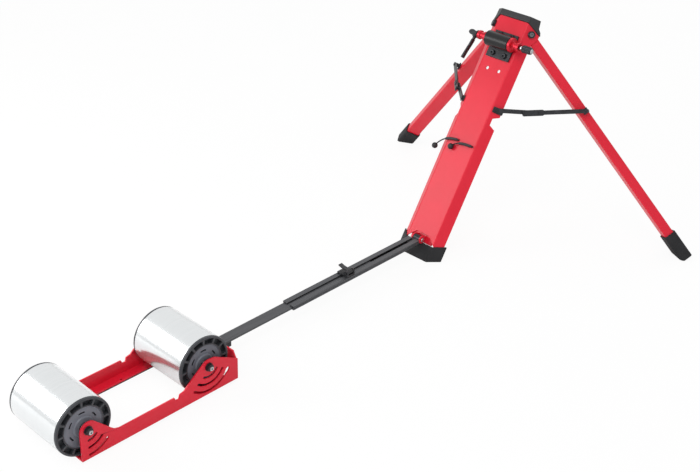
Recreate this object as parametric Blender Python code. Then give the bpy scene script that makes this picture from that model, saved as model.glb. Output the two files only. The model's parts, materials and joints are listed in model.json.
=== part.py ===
"""Fork mount roller trainer: a tripod mast with a fork mount, a telescopic beam and two drums.

Lengths are written in millimetres and become metres when a mesh or an empty is made.
World axes: +X from the rollers towards the mast, +Y to the rider's left, +Z up, floor at z = 0.
The origin lies on the floor, in the middle of the mast's foot, under the front face of its web.
"""
import bpy
import bmesh
from math import acos, atan2, cos, degrees, hypot, pi, radians, sin
from mathutils import Matrix, Vector

MM = 0.001
GAP = 0.3            # air between two pieces that touch
FAR = 900.0          # past every piece
SHEET = 3.0          # steel sheet of the mast and the roller frame
LEFT = 1
RIGHT = -1

# Mast: a channel that leans back, with flanges flared out from its web
MAST_LEAN = 31.08    # degrees from upright
WEB_HALF = 33.5
WEB_TOP = 509.5
FLARE = 47.3         # degrees between a flange and the mast's depth
FLANGE = 22.0
EAR = 30.6           # flange width round the leg pivots
EAR_START_DROP = 42.5    # below the web's top
EAR_FULL_DROP = 21.8
EAR_START = WEB_TOP - EAR_START_DROP
EAR_FULL = WEB_TOP - EAR_FULL_DROP
BEND_OUTER = 5.0
ARCH_TOP = 48.0
ARCH_HALF_TOP = 16.5
ARCH_FOOT = 31.0
BOOT_WALL = 2.5
BOOT_TOP = 27.0      # above the floor
BOOT_BEHIND = 2.5    # past the flange's rear edge
CAP_WALL = 2.4
CAP_RISE = 9.0       # roof above the web's top
CAP_ROOF = 4.5
CAP_FRONT_DROP = 2.6
CAP_REAR_DROP = 21.5
CAP_TOP = WEB_TOP + CAP_RISE
CAP_FRONT_EDGE = WEB_TOP - CAP_FRONT_DROP
CAP_REAR_EDGE = WEB_TOP - CAP_REAR_DROP
CAP_DEPTH = 22.5
CAP_BACK = ((12.6, 10.0), (14.6, -6.5), (18.3, -12.5), (20.6, -21.5))   # depth, and height over the web's top
EAR_BACK = ((-16.0, 31.6), (-7.0, 22.5), (5.0, 19.5))                   # the same line on the flange
EAR_END = 60.0
SPARE_HOLE_Y = 14.0
SPARE_HOLE_R = 3.4

# Legs: rectangular tubes that fold down behind the flanges
PIVOT_DROP = 22.3    # pivot below the web's top
PIVOT_H = WEB_TOP - PIVOT_DROP
PIVOT_F = 14.4
LEG_OPEN = 59.3      # degrees between an open leg and the mast
LEG_OUTER = 7.2      # tube edges to the outside and inside of the pivot
LEG_INNER = 12.2
LEG_FACE = SHEET + GAP   # tube face behind the flange's outer face
LEG_DEPTH = 30.0
LEG_WALL = 2.0
LEG_CORNER = 3.0
TUBE_SHORT = 38.35   # tube's and foot's ends above the place where the leg's line meets the floor
FOOT_SHORT = 7.35
FOOT_LENGTH = 62.0
FOOT_WALL = 2.3
FOOT_LIP = 3.8       # how far the foot stands off the leg's outer edge
PIVOT_R = 4.0
BOLT_HEAD_R = 7.0
BOLT_HEAD = 6.0

# Folding stays between mast and leg, in layers outside each flange
STAY_DROP = 160.5    # mast pin below the leg's pivot
STAY_MAST_H = PIVOT_H - STAY_DROP
STAY_MAST_F = 10.0
STAY_LEG_U = 185.0
STAY_LEG_V = 2.0
STAY_SPARE = 0.1     # length past straight, so that the knee drops over centre
STAY_WIDTH = 8.6
STAY_SHEET = 3.0
STAY_PIN_R = 2.6
KNUCKLE_BACK = 27.0
KNUCKLE_FRONT = 16.0
KNUCKLE_WIDTH = 12.0
KNUCKLE_SHEET = 2.0
KNUCKLE_RIVET_BACK = 22.0
KNUCKLE_RIVET_FRONT = 8.5
RIVET_HEAD_R = 3.9
RIVET_HEAD = 1.4
BRACKET_SHEET = 2.7
BRACKET_HEIGHT = 12.0
LUG_WIDTH = 11.0
LUG_INNER = 4.0

# Fork mount and quick release skewer
FORK_DROP = 56.3     # skewer below the web's top
FORK_H = WEB_TOP - FORK_DROP
FORK_STANDOFF = 18.5
FORK_WIDTH = 100.0   # over the caps: the standard front fork
FORK_BODY_R = 15.0
FORK_BODY_HALF = 27.5
FORK_CAP_R = 9.0
FORK_WAIST_R = 6.6
FORK_RING = 6.0      # thickness of a cap's end ring
FORK_COLLAR_R = 9.4
FORK_FLANGE = 6.0
CUP_R = 6.0          # recess in the right cap's end
CUP_DEPTH = 3.0
SADDLE_BELOW = 32.2
SADDLE_ABOVE = 21.8
SADDLE_LOW = FORK_H - SADDLE_BELOW
SADDLE_HIGH = FORK_H + SADDLE_ABOVE
SADDLE_HALF = 27.5
SADDLE_PLATE = 3.5
SADDLE_BLOCK_HALF = 20.0
SADDLE_BLOCK_H = 10.8
SADDLE_BOLT_Y = 14.0
SADDLE_BOLT_BELOW = 23.7
SADDLE_BOLT_ABOVE = 16.8
SADDLE_BOLT_H = (FORK_H - SADDLE_BOLT_BELOW, FORK_H + SADDLE_BOLT_ABOVE)
SADDLE_BOLT_R = 3.3  # bolt hole
SPARE_HOLE_DROP = 54.2
SPARE_HOLE_H = FORK_H - SPARE_HOLE_DROP
SKEWER_R = 2.5
SKEWER_NUT_START = 2.3
SKEWER_NUT_LENGTH = 26.2
SKEWER_NUT_R = 7.6
NUT_COLLAR_R = 3.9
NUT_COLLAR = 4.7
WASHER_START = 2.3   # air beside the caps for the fork's ends
CAM_WASHER = 2.4
WASHER_R = 7.5
CAM_LONG = 8.5       # the cam's oval, along the skewer and across it
CAM_SHORT = 5.5
CAM_EYE_R = 4.0
CAM_WIDTH = 12.0
CAM_SLOT = 5.8
CAM_PIN_R = 2.2
LEVER_LENGTH = 54.0
LEVER_WIDTH = 9.0
LEVER_NECK = 6.0
LEVER_OUTER = ((-2.5, -3.0), (-3.6, -12.0), (-1.6, -25.0), (1.6, -40.0), (3.8, 1.2 - LEVER_LENGTH),
               (3.3, -LEVER_LENGTH))
LEVER_INNER = ((0.4, -LEVER_LENGTH), (-1.8, -40.0), (-5.0, -25.0), (-7.4, -12.0), (-8.2, -6.0), (-8.2, -3.0))

# Beam: a slotted rail on the mast and a flat bar that slides in it
BEAM_PIN_X = 9.7
BEAM_PIN_Z = 36.4
BEAM_PIN_R = 3.0
FRAME_PIN_X = -513.3
FRAME_PIN_Z = 24.5
BAR_END_Z = 31.2     # middle of the bar above the frame's hinge
BAR_THICK = 3.5
BAR_WIDTH = 22.7
BAR_OUT = 12.5       # bar past the frame's hinge
BAR_INNER_END = -137.0
RAIL_WIDTH = 28.0
RAIL_TOP = 4.5
RAIL_BOTTOM = -3.85
RAIL_SLOT = 7.0
RAIL_START = -355.0
RAIL_END = -13.0
RAIL_GROOVE = 1.0
EYE_R = 7.0
EYE_HALF = 7.5
TONGUE_IN = 17.0
CHEEK = 3.0
CLAMP_X = -206.0
CLAMP_LENGTH = 20.0
CLAMP_HALF = 13.5
CLAMP_BASE = 3.2
CLAMP_EAR = 3.0
CLAMP_AXIS_Y = -8.5
CLAMP_AXIS_Z = 12.2
CLAMP_BARREL_R = 3.8
CLAMP_PIN_R = 2.0
CLAMP_PADDLE = 8.5
CLAMP_STUD_R = 3.0

# Roller frame and drums, measured from the front axle and the plates' lower edge
FRONT_AXLE_X = -591.3
DRUM_SPACING = 234.5
PAD_HEIGHT = 4.0
PAD_WIDTH = 12.0
PAD_EDGE = 6.0
PAD_INSET = 14.0
AXLE_HEIGHT = 54.0
PLATE_OUTER = 72.0
PLATE_FRONT = 62.4
PLATE_REAR = -248.7
PLATE_SHOULDER = (13.0, 66.3)
PLATE_FRONT_ARCH = (-1.0, 53.0, 14.0)    # place, height and radius
PLATE_REAR_ARCH = (16.5, 51.5, 16.5)     # place before the rear end, height and radius
PLATE_DIP = ((-46.3, 35.2), (-51.5, 30.4), (-60.2, 28.6), (-62.5, 21.2), (-68.4, 21.6), (-71.0, 27.6),
             (-178.0, 27.5), (-186.5, 30.2), (-192.0, 35.0))
CLIP_HOLE = (-83.0, 56.0, 2.0)
FOOT_FLANGE = 20.0
SLOT_RADII = (19.8, 33.5, 47.0)
SLOT_WIDTH = 4.6
SLOT_EYE = 7.4       # wider upper end of the front plate ends' outer slot
SLOT_EYE_SPAN = (-37.0, -30.5)
DRUM_R = 50.0
DRUM_WALL = 2.5
DRUM_HALF = 62.0
CAP_RIM = 4.0
CAP_HUB_R = 17.0
CAP_PLUG = 16.0      # depth of the plug inside the shell
CAP_PLUG_WALL = 2.5
CAP_WEB_IN = 9.5     # web's faces below the cap's end
CAP_WEB_OUT = 6.5
CAP_HUB_RISE = 4.0   # above the web's outer face
CAP_STEP_RISE = 3.4
CAP_SEAT = 4.0
CAP_LIP = 1.5
CAP_RADII = (33.0, 35.0, 44.0, 45.0)    # step, pocket's floor and rim
AXLE_R = 5.0
AXLE_THREAD_R = 3.5
AXLE_SHOULDER_R = 7.5
CAP_BORE_R = 8.2
BEARING_R = 13.0
BEARING = 8.0
BRAKE_R = 38.0
BRAKE_HALF = 7.0
AXLE_BOLT_R = 6.4
AXLE_TIP_R = 3.8
AXLE_WASHER_R = 7.6
CROSS_LIP = 22.0
CROSS_TAB = 25.0     # half width of the part that goes down to the floor
CROSS_WINDOW = 28.0
CROSS_TOP = 52.0
CROSS_SHOULDER = 62.0
CROSS_CORNER = 40.0
EAR_PLATE = 2.8
EAR_IN = BAR_WIDTH / 2 + GAP + 0.2
EAR_R = 5.5
FRAME_PIN_R = 2.5
BAR_KNUCKLE_R = 4.6

# Hold cords with their balls, as places (height, left, stand-off) on the web's front face
CORD_R = 1.3
CORD_STEP = 5.2      # between a cord's points, two of its diameters
BALL_R = 6.0
UPPER_HOLE = (245.5, 8.3)
LOWER_HOLE = (242.9, -28.0)
UPPER_CORD = ((245.5, 8.3, -0.8), (245.5, 8.3, 1.5), (245.5, 8.6, 4.0), (244.8, 13.0, 5.6), (244.0, 19.0, 5.2),
              (241.8, 29.0, 4.6), (236.5, 39.5, 5.0), (228.5, 47.3, 5.6), (224.0, 50.1, 6.0))
LOWER_CORD = ((242.9, -28.0, -0.8), (242.9, -28.0, 1.5), (242.9, -27.6, 4.0), (242.8, -22.0, 5.0), (242.4, -12.0, 4.6),
              (241.2, -3.0, 4.6), (239.0, 5.0, 5.2), (235.4, 11.0, 5.8), (233.3, 13.2, 6.0))
UPPER_BALL = (218.4, 52.9, 6.0)
LOWER_BALL = (228.6, 17.0, 6.0)

FINISHES = {
    "red_paint": ("DB2A3E", 0.35, 0.0),
    "black_plastic": ("2C2C2F", 0.55, 0.0),
    "black_rubber": ("1E1E20", 0.8, 0.0),
    "black_steel": ("2A2B2D", 0.4, 0.3),
    "grey_aluminium": ("5D5E61", 0.4, 0.8),
    "white_drum": ("D9DADC", 0.35, 0.0),
    "grey_plastic": ("4A4C50", 0.5, 0.0),
    "bright_steel": ("B4B6B8", 0.3, 1.0),
    "red_aluminium": ("C4202F", 0.3, 0.6),
}


def arc(cx, cy, radius, start, end, steps):
    """Points on an arc, from start to end in degrees."""
    angles = [radians(start + (end - start) * i / steps) for i in range(steps + 1)]
    return [(cx + radius * cos(a), cy + radius * sin(a)) for a in angles]


def rounded(corners, steps=3):
    """A closed outline from corners (x, y, radius), with each corner of some radius as an arc."""
    points = []
    for i, (x, y, radius) in enumerate(corners):
        here = Vector((x, y))
        if radius == 0:
            points.append((x, y))
            continue
        back = (Vector(corners[i - 1][:2]) - here).normalized()
        ahead = (Vector(corners[(i + 1) % len(corners)][:2]) - here).normalized()
        half = acos(max(-1.0, min(1.0, back.dot(ahead)))) / 2
        centre = here + (back + ahead).normalized() * radius / sin(half)
        first = here + back * radius / (sin(half) / cos(half)) - centre
        last = here + ahead * radius / (sin(half) / cos(half)) - centre
        turn = first.angle_signed(last)
        for k in range(steps + 1):
            a = -turn * k / steps
            points.append((centre.x + first.x * cos(a) - first.y * sin(a),
                           centre.y + first.x * sin(a) + first.y * cos(a)))
    return points


def bar_outline(length, width, steps=6):
    """A flat link from the origin along +X with both ends round, centred on its two pins."""
    r = width / 2
    return arc(0, 0, r, 90, 270, steps) + arc(length, 0, r, -90, 90, steps)


def arc_slot(radius, width, start, end, steps=7):
    """A slot that follows an arc about the origin, with round ends."""
    r = width / 2
    low, high = radians(start), radians(end)
    return (arc(0, 0, radius + r, start, end, steps)
            + arc(radius * cos(high), radius * sin(high), r, end, end + 180, 3)[1:-1]
            + arc(0, 0, radius - r, end, start, steps)
            + arc(radius * cos(low), radius * sin(low), r, start + 180, start + 360, 3)[1:-1])


def prism(outline, low, high, axis="Z"):
    """A closed outline extruded between two values along X, Y or Z."""
    place = {"X": lambda u, v: (low, u, v), "Y": lambda u, v: (u, low, v), "Z": lambda u, v: (u, v, low)}[axis]
    along = Vector([float(axis == name) for name in "XYZ"]) * (high - low)
    shape = bmesh.new()
    base = shape.faces.new([shape.verts.new(place(u, v)) for u, v in outline])
    top = bmesh.ops.extrude_face_region(shape, geom=[base])["geom"]
    bmesh.ops.translate(shape, verts=[v for v in top if isinstance(v, bmesh.types.BMVert)], vec=along)
    bmesh.ops.recalc_face_normals(shape, faces=shape.faces)
    return shape


def block(x, y, z):
    """A box between pairs of values along the three axes."""
    return prism([(x[0], y[0]), (x[1], y[0]), (x[1], y[1]), (x[0], y[1])], z[0], z[1])


def turned(profile, axis="Z", steps=24, centre=(0, 0, 0), closed=False):
    """A profile of (radius, place along the axis) turned round an axis through the centre."""
    shape = bmesh.new()
    verts = [shape.verts.new((r, 0, s)) for r, s in profile]
    for a, b in zip(verts, verts[1:]):
        shape.edges.new((a, b))
    if closed:
        shape.edges.new((verts[-1], verts[0]))
    bmesh.ops.spin(shape, geom=shape.verts[:] + shape.edges[:], axis=(0, 0, 1), cent=(0, 0, 0),
                   angle=2 * pi, steps=steps, use_merge=True)
    bmesh.ops.remove_doubles(shape, verts=shape.verts, dist=1e-4)
    bmesh.ops.recalc_face_normals(shape, faces=shape.faces)
    turn = {"X": Matrix.Rotation(pi / 2, 4, "Y"), "Y": Matrix.Rotation(-pi / 2, 4, "X"), "Z": Matrix()}[axis]
    shape.transform(Matrix.Translation(centre) @ turn)
    return shape


def rod(radius, low, high, axis="Z", centre=(0, 0, 0), steps=24):
    """A plain cylinder along an axis."""
    return turned([(0, low), (radius, low), (radius, high), (0, high)], axis, steps, centre)


def ring(inner, outer, low, high, axis="Z", centre=(0, 0, 0), steps=24):
    """A tube or washer along an axis."""
    return turned([(inner, low), (outer, low), (outer, high), (inner, high)], axis, steps, centre, closed=True)


def boolean(shape, tool, operation):
    """One closed shape cut by, joined with or kept inside another."""
    pair = []
    for part in (shape, tool):
        mesh = bpy.data.meshes.new("operand")
        part.to_mesh(mesh)
        part.free()
        pair.append(bpy.data.objects.new("operand", mesh))
        bpy.context.scene.collection.objects.link(pair[-1])
    modifier = pair[0].modifiers.new("boolean", "BOOLEAN")
    modifier.operation = operation
    modifier.solver = "EXACT"
    modifier.object = pair[1]
    graph = bpy.context.evaluated_depsgraph_get()
    graph.update()
    result = bmesh.new()
    result.from_mesh(pair[0].evaluated_get(graph).to_mesh())
    bmesh.ops.remove_doubles(result, verts=result.verts, dist=2e-3)
    bmesh.ops.dissolve_degenerate(result, edges=result.edges, dist=1e-3)
    bmesh.ops.dissolve_limit(result, angle_limit=radians(0.05), verts=result.verts, edges=result.edges)
    for operand in pair:
        mesh = operand.data
        bpy.data.objects.remove(operand)
        bpy.data.meshes.remove(mesh)
    return result


def cut(shape, *tools):
    for tool in tools:
        shape = boolean(shape, tool, "DIFFERENCE")
    return shape


def join(shape, *others):
    for other in others:
        shape = boolean(shape, other, "UNION")
    return shape


def moved(shape, matrix):
    shape.transform(matrix)
    return shape


def axes_frame(origin, x_axis, y_axis):
    """A right-handed frame in millimetres from an origin and two square unit axes."""
    x_axis, y_axis = Vector(x_axis), Vector(y_axis)
    frame = Matrix((x_axis, y_axis, x_axis.cross(y_axis))).transposed().to_4x4()
    frame.translation = origin
    return frame


WORLD = Matrix()
MAST = Matrix.Rotation(radians(MAST_LEAN), 4, "Y")    # X is depth, Y is left, Z runs up the web
UP = MAST.col[2].to_3d()
DEPTH = MAST.col[0].to_3d()
LEFTWARD = Vector((0, 1, 0))
BEAM_TILT = atan2(BEAM_PIN_Z - BAR_END_Z, BEAM_PIN_X - FRAME_PIN_X)
BEAM = Matrix.Translation((BEAM_PIN_X, 0, BEAM_PIN_Z)) @ Matrix.Rotation(-BEAM_TILT, 4, "Y")
ROLLER = Matrix.Translation((FRONT_AXLE_X, 0, PAD_HEIGHT))
BAR_LENGTH = hypot(BEAM_PIN_X - FRAME_PIN_X, BEAM_PIN_Z - BAR_END_Z)


def flange_frame(side):
    """X runs up the flange's outer corner, Y across the flange from that corner."""
    across = cos(radians(FLARE)) * DEPTH + side * sin(radians(FLARE)) * LEFTWARD
    return axes_frame(LEFTWARD * side * WEB_HALF, UP, across)


def turn_at(frame, h, f, angle):
    """A frame at a point of a flange's plane, turned by an angle in degrees about its normal."""
    return frame @ Matrix.Translation((h, f, 0)) @ Matrix.Rotation(radians(angle), 4, "Z")


def layer(side, low, high):
    """A span of heights off a flange's outer face, as values on its frame's third axis."""
    return sorted((side * low, side * high))


def leg_frame(side):
    """X runs down the open leg from its pivot, Y towards the leg's inner edge."""
    return turn_at(flange_frame(side), PIVOT_H, PIVOT_F, 180 - LEG_OPEN)


LEG_REACH = leg_frame(LEFT).translation.z / -leg_frame(LEFT).col[0].z    # from the pivot to the floor
LEG_TUBE_END = LEG_REACH - TUBE_SHORT
FOOT_END = LEG_REACH - FOOT_SHORT
FOOT_COLLAR = FOOT_END - FOOT_LENGTH


def stay_points():
    """The stay's mast pin, knee and leg pin in a flange's plane, and the two lengths."""
    mast_pin = Vector((STAY_MAST_H, STAY_MAST_F))
    down = radians(180 - LEG_OPEN)
    leg_pin = Vector((PIVOT_H, PIVOT_F)) + STAY_LEG_U * Vector((cos(down), sin(down)))
    leg_pin += STAY_LEG_V * Vector((sin(down), -cos(down)))
    folded_pin = Vector((PIVOT_H - STAY_LEG_U, PIVOT_F + STAY_LEG_V))
    reach = leg_pin - mast_pin
    shut = (folded_pin - mast_pin).length
    lower = (reach.length - shut) / 2 + STAY_SPARE
    upper = lower + shut
    bend = acos((lower ** 2 + reach.length ** 2 - upper ** 2) / (2 * lower * reach.length))
    angle = atan2(reach.y, reach.x) + bend
    knee = mast_pin + lower * Vector((cos(angle), sin(angle)))
    return mast_pin, knee, leg_pin, lower, upper


STAY_MAST, STAY_KNEE, STAY_LEG, STAY_LOWER, STAY_UPPER = stay_points()
LOWER_ANGLE = degrees(atan2(*reversed(STAY_KNEE - STAY_MAST)))
UPPER_ANGLE = degrees(atan2(*reversed(STAY_LEG - STAY_KNEE)))
STAY_BASE = BRACKET_SHEET + 2 * GAP                  # inner face of the lower link
STAY_TOP = STAY_BASE + STAY_SHEET + GAP              # inner face of the upper link
KNUCKLE_BASE = STAY_TOP + STAY_SHEET - 0.1

BODIES = {}


def add_body(name, frame, parent=None):
    """An empty on a body's joint axis, with the pieces of that body as its children."""
    empty = bpy.data.objects.new(name, None)
    bpy.context.scene.collection.objects.link(empty)
    placed = frame.copy()
    placed.translation *= MM
    above = Matrix()
    if parent:
        empty.parent, above = BODIES[parent]
    empty.matrix_basis = above.inverted() @ placed
    BODIES[name] = (empty, placed)


def material(name, finish):
    code, roughness, metallic = FINISHES[finish]
    made = bpy.data.materials.new(f"{name}_{finish}")
    made.use_nodes = True
    shader = made.node_tree.nodes["Principled BSDF"]
    parts = [int(code[i:i + 2], 16) / 255 for i in (0, 2, 4)]
    linear = [c / 12.92 if c <= 0.04045 else ((c + 0.055) / 1.055) ** 2.4 for c in parts]
    shader.inputs["Base Color"].default_value = (*linear, 1)
    shader.inputs["Roughness"].default_value = roughness
    shader.inputs["Metallic"].default_value = metallic
    made.diffuse_color = (*linear, 1)
    return made


def add_piece(name, shape, frame, body, finish, smooth=True):
    """A named piece from a shape in a frame, as a child of its body's empty."""
    shape.transform(Matrix.Scale(MM, 4))
    mesh = bpy.data.meshes.new(name)
    shape.to_mesh(mesh)
    shape.free()
    mesh.materials.append(material(name, finish))
    if smooth:
        mesh.shade_smooth()
        mesh.set_sharp_from_angle(angle=radians(35))
    piece = bpy.data.objects.new(name, mesh)
    bpy.context.scene.collection.objects.link(piece)
    placed = frame.copy()
    placed.translation *= MM
    piece.parent, above = BODIES[body]
    piece.matrix_basis = above.inverted() @ placed
    return piece


def flare_line(offset, reach):
    """Depth and half width of a point across the flange, at an offset outside its outer face."""
    a = radians(FLARE)
    return reach * cos(a) - offset * sin(a), WEB_HALF + reach * sin(a) + offset * cos(a)


def wrap_corner(offset):
    """Where a wall outside the web meets a wall outside the flange, both at one offset."""
    a = radians(FLARE)
    return flare_line(offset, offset * (sin(a) - 1) / cos(a))


def wrap_outline(offset, reach):
    """Half outlines mirrored: the channel's outside, grown by an offset, closed straight behind."""
    front, back = wrap_corner(offset), flare_line(offset, reach)
    return [(front[0], -front[1]), (back[0], -back[1]), back, front]


def floor_below(frame, level):
    """Everything under a level above the floor, seen from a frame."""
    return moved(block((-FAR, FAR), (-FAR, FAR), (level - FAR, level)), frame.inverted())


def channel_outline():
    outer, tip = wrap_corner(0), flare_line(0, EAR)
    inner, inner_tip = wrap_corner(-SHEET), flare_line(-SHEET, EAR)
    bend = BEND_OUTER - SHEET
    corners = [(tip[0], -tip[1], 0), (outer[0], -outer[1], BEND_OUTER), (outer[0], outer[1], BEND_OUTER),
               (tip[0], tip[1], 0), (inner_tip[0], inner_tip[1], 0), (inner[0], inner[1], bend),
               (inner[0], -inner[1], bend), (inner_tip[0], -inner_tip[1], 0)]
    return rounded(corners)


def flange_trim(side):
    """Cutters behind a flange's rear edge, with the notch for the folded stay's lug, and behind its ear."""
    notch = PIVOT_H - STAY_LEG_U
    edge = [(-60, FLANGE), (notch - 13.4, FLANGE), (notch - 6.8, 9.6), (notch + 6.8, 9.6), (notch + 13.4, FLANGE),
            (EAR_START, FLANGE), (EAR_FULL, EAR + 1), (EAR_FULL, 60), (-60, 60)]
    low, high = layer(side, -SHEET - 4, 4)
    back = [(WEB_TOP + h, f) for h, f in EAR_BACK]
    back += [(back[-1][0], EAR_END), (back[0][0], EAR_END)]
    into_mast = MAST.inverted() @ flange_frame(side)
    return moved(prism(edge, low, high), into_mast), moved(prism(back, low, high), into_mast)


def web_hole(h, y, radius, steps=16):
    return rod(radius, -10, 12, "X", (0, y, h), steps)


def make_mast():
    add_body("mast", WORLD)
    channel = prism(channel_outline(), -60, WEB_TOP)
    arch = [(-WEB_HALF - 4, -70), (WEB_HALF + 4, -70), (WEB_HALF + 4, ARCH_FOOT - 2), (ARCH_HALF_TOP, ARCH_TOP),
            (-ARCH_HALF_TOP, ARCH_TOP), (-WEB_HALF - 4, ARCH_FOOT - 2)]
    channel = cut(channel, floor_below(MAST, BOOT_WALL + GAP), prism(arch, -6, SHEET + 0.6, "X"),
                  *flange_trim(LEFT), *flange_trim(RIGHT))
    for side in (LEFT, RIGHT):
        pivot = turn_at(flange_frame(side), PIVOT_H, PIVOT_F, 0)
        channel = cut(channel, moved(rod(PIVOT_R + GAP, -9, 9), MAST.inverted() @ pivot),
                      web_hole(SPARE_HOLE_H, side * SPARE_HOLE_Y, SPARE_HOLE_R))
        for h in SADDLE_BOLT_H:
            channel = cut(channel, web_hole(h, side * SADDLE_BOLT_Y, SADDLE_BOLT_R))
    for h, y in (UPPER_HOLE, LOWER_HOLE):
        channel = cut(channel, web_hole(h, y, CORD_R + GAP))
    add_piece("mast_channel", channel, MAST, "mast", "red_paint")
    make_mast_boot()
    make_mast_cap()


def make_mast_boot():
    """Moulded shoe outside the channel's foot, open inside for the folded legs."""
    shoe = prism(wrap_outline(GAP + BOOT_WALL, FLANGE + BOOT_WALL + BOOT_BEHIND), -60, 90)
    shoe = cut(shoe, floor_below(MAST, 0), moved(block((-FAR, FAR), (-FAR, FAR), (BOOT_TOP, FAR)), MAST.inverted()))
    hollow = prism(wrap_outline(GAP, FLANGE + 40), -60, 90)
    lip = prism(wrap_outline(-SHEET - GAP, FLANGE + 40), -90, 90)
    shoe = cut(shoe, cut(hollow, floor_below(MAST, BOOT_WALL)), lip)
    add_piece("mast_boot", shoe, MAST, "mast", "black_rubber", smooth=False)


def make_mast_cap():
    """Cap over the mast's head, open behind, with its lower edge along the open legs."""
    offset = GAP + CAP_WALL
    cap = prism(wrap_outline(offset, EAR + CAP_WALL), CAP_REAR_EDGE - 30, CAP_TOP)
    hollow = prism(wrap_outline(GAP, EAR + 60), CAP_REAR_EDGE - 40, CAP_TOP - CAP_ROOF)
    slope = [(-20, CAP_FRONT_EDGE + 14), (-offset, CAP_FRONT_EDGE), (CAP_DEPTH, CAP_REAR_EDGE), (60, CAP_REAR_EDGE - 30),
             (60, CAP_REAR_EDGE - 60), (-20, CAP_REAR_EDGE - 60)]
    back = [(depth, WEB_TOP + h) for depth, h in CAP_BACK] + [(60, CAP_REAR_EDGE - 8), (60, CAP_TOP + 10)]
    cap = cut(cap, hollow, prism(slope, -90, 90, "Y"), prism(back, -90, 90, "Y"))
    add_piece("mast_cap", cap, MAST, "mast", "black_plastic", smooth=False)


def make_beam_hinge():
    """Bracket inside the channel whose cheeks come out through the arch and hold the beam's pin."""
    pin = MAST.inverted() @ Vector((BEAM_PIN_X, 0, BEAM_PIN_Z))
    back = SHEET + GAP
    inner = EYE_HALF + GAP
    nose = arc(pin.x, pin.z, 8.0, 285, 90, 8)
    cheek = nose + [(back, ARCH_TOP - 2.5), (back, 84), (back + CHEEK, 84), (back + 11, 60), (back + 9, 33), (0, 32.5),
                    (-3.4, 30.6)]
    bracket = block((back, back + CHEEK), (-27, 27), (31, 84))
    for side in (LEFT, RIGHT):
        low, high = sorted((side * inner, side * (inner + CHEEK)))
        bracket = join(bracket, prism(cheek, low, high, "Y"))
    bracket = cut(bracket, rod(BEAM_PIN_R + GAP, -30, 30, "Y", (pin.x, 0, pin.z), 16))
    add_piece("beam_hinge_bracket", bracket, MAST, "mast", "red_paint")
    end = inner + CHEEK + GAP
    profile = [(0, -end - 2), (4.6, -end - 2), (4.6, -end), (BEAM_PIN_R, -end), (BEAM_PIN_R, end), (4.6, end),
               (4.6, end + 2), (0, end + 2)]
    axis = Matrix.Translation((BEAM_PIN_X, 0, BEAM_PIN_Z))
    add_piece("beam_hinge_pin", turned(profile, "Y", 16), axis, "mast", "bright_steel")


def make_fork_mount():
    """Saddle, clamp body and end caps that stand in for a front hub."""
    x, h = -FORK_STANDOFF, FORK_H
    plate = block((-GAP - SADDLE_PLATE, -GAP), (-SADDLE_HALF, SADDLE_HALF), (SADDLE_LOW, SADDLE_HIGH))
    cradle = block((x + 8, -GAP - 1), (-SADDLE_BLOCK_HALF, SADDLE_BLOCK_HALF), (h - SADDLE_BLOCK_H, h + SADDLE_BLOCK_H))
    saddle = cut(join(plate, cradle), rod(FORK_BODY_R + GAP, -40, 40, "Y", (x, 0, h), 32))
    for side in (LEFT, RIGHT):
        for bolt_h in SADDLE_BOLT_H:
            saddle = cut(saddle, web_hole(bolt_h, side * SADDLE_BOLT_Y, SADDLE_BOLT_R))
    add_piece("fork_saddle", saddle, MAST, "mast", "black_steel")
    centre = (x, 0, h)
    bore = SKEWER_R + 0.5
    half, r = FORK_BODY_HALF, FORK_BODY_R
    body = [(bore, -half), (r - 1, -half), (r, -half + 1), (r, half - 1), (r - 1, half), (bore, half)]
    add_piece("fork_body", turned(body, "Y", 32, centre, True), MAST, "mast", "black_plastic")
    start, end = half + GAP, FORK_WIDTH / 2
    inner, waist, ring_in = start + FORK_FLANGE, FORK_WAIST_R, end - FORK_RING
    spool = [(waist, inner + 4), (waist, ring_in - 1.5), (FORK_CAP_R, ring_in), (FORK_CAP_R, end - 0.8),
             (FORK_CAP_R - 0.8, end)]
    left = [(bore, start), (FORK_COLLAR_R, start), (FORK_COLLAR_R, inner + 2)] + spool + [(bore, end)]
    right = [(bore, start), (r - 1.2, start), (r - 0.7, start + 0.5), (r - 0.7, inner - 1), (r - 2, inner),
             (FORK_COLLAR_R - 1, inner + 1), (FORK_COLLAR_R - 1, inner + 3)] + spool
    right = [(a, -s) for a, s in right + [(CUP_R, end), (CUP_R, end - CUP_DEPTH), (bore, end - CUP_DEPTH)]]
    add_piece("fork_cap_left", turned(left, "Y", 24, centre, True), MAST, "mast", "red_aluminium")
    add_piece("fork_cap_right", turned(right, "Y", 24, centre, True), MAST, "mast", "red_aluminium")


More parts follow.
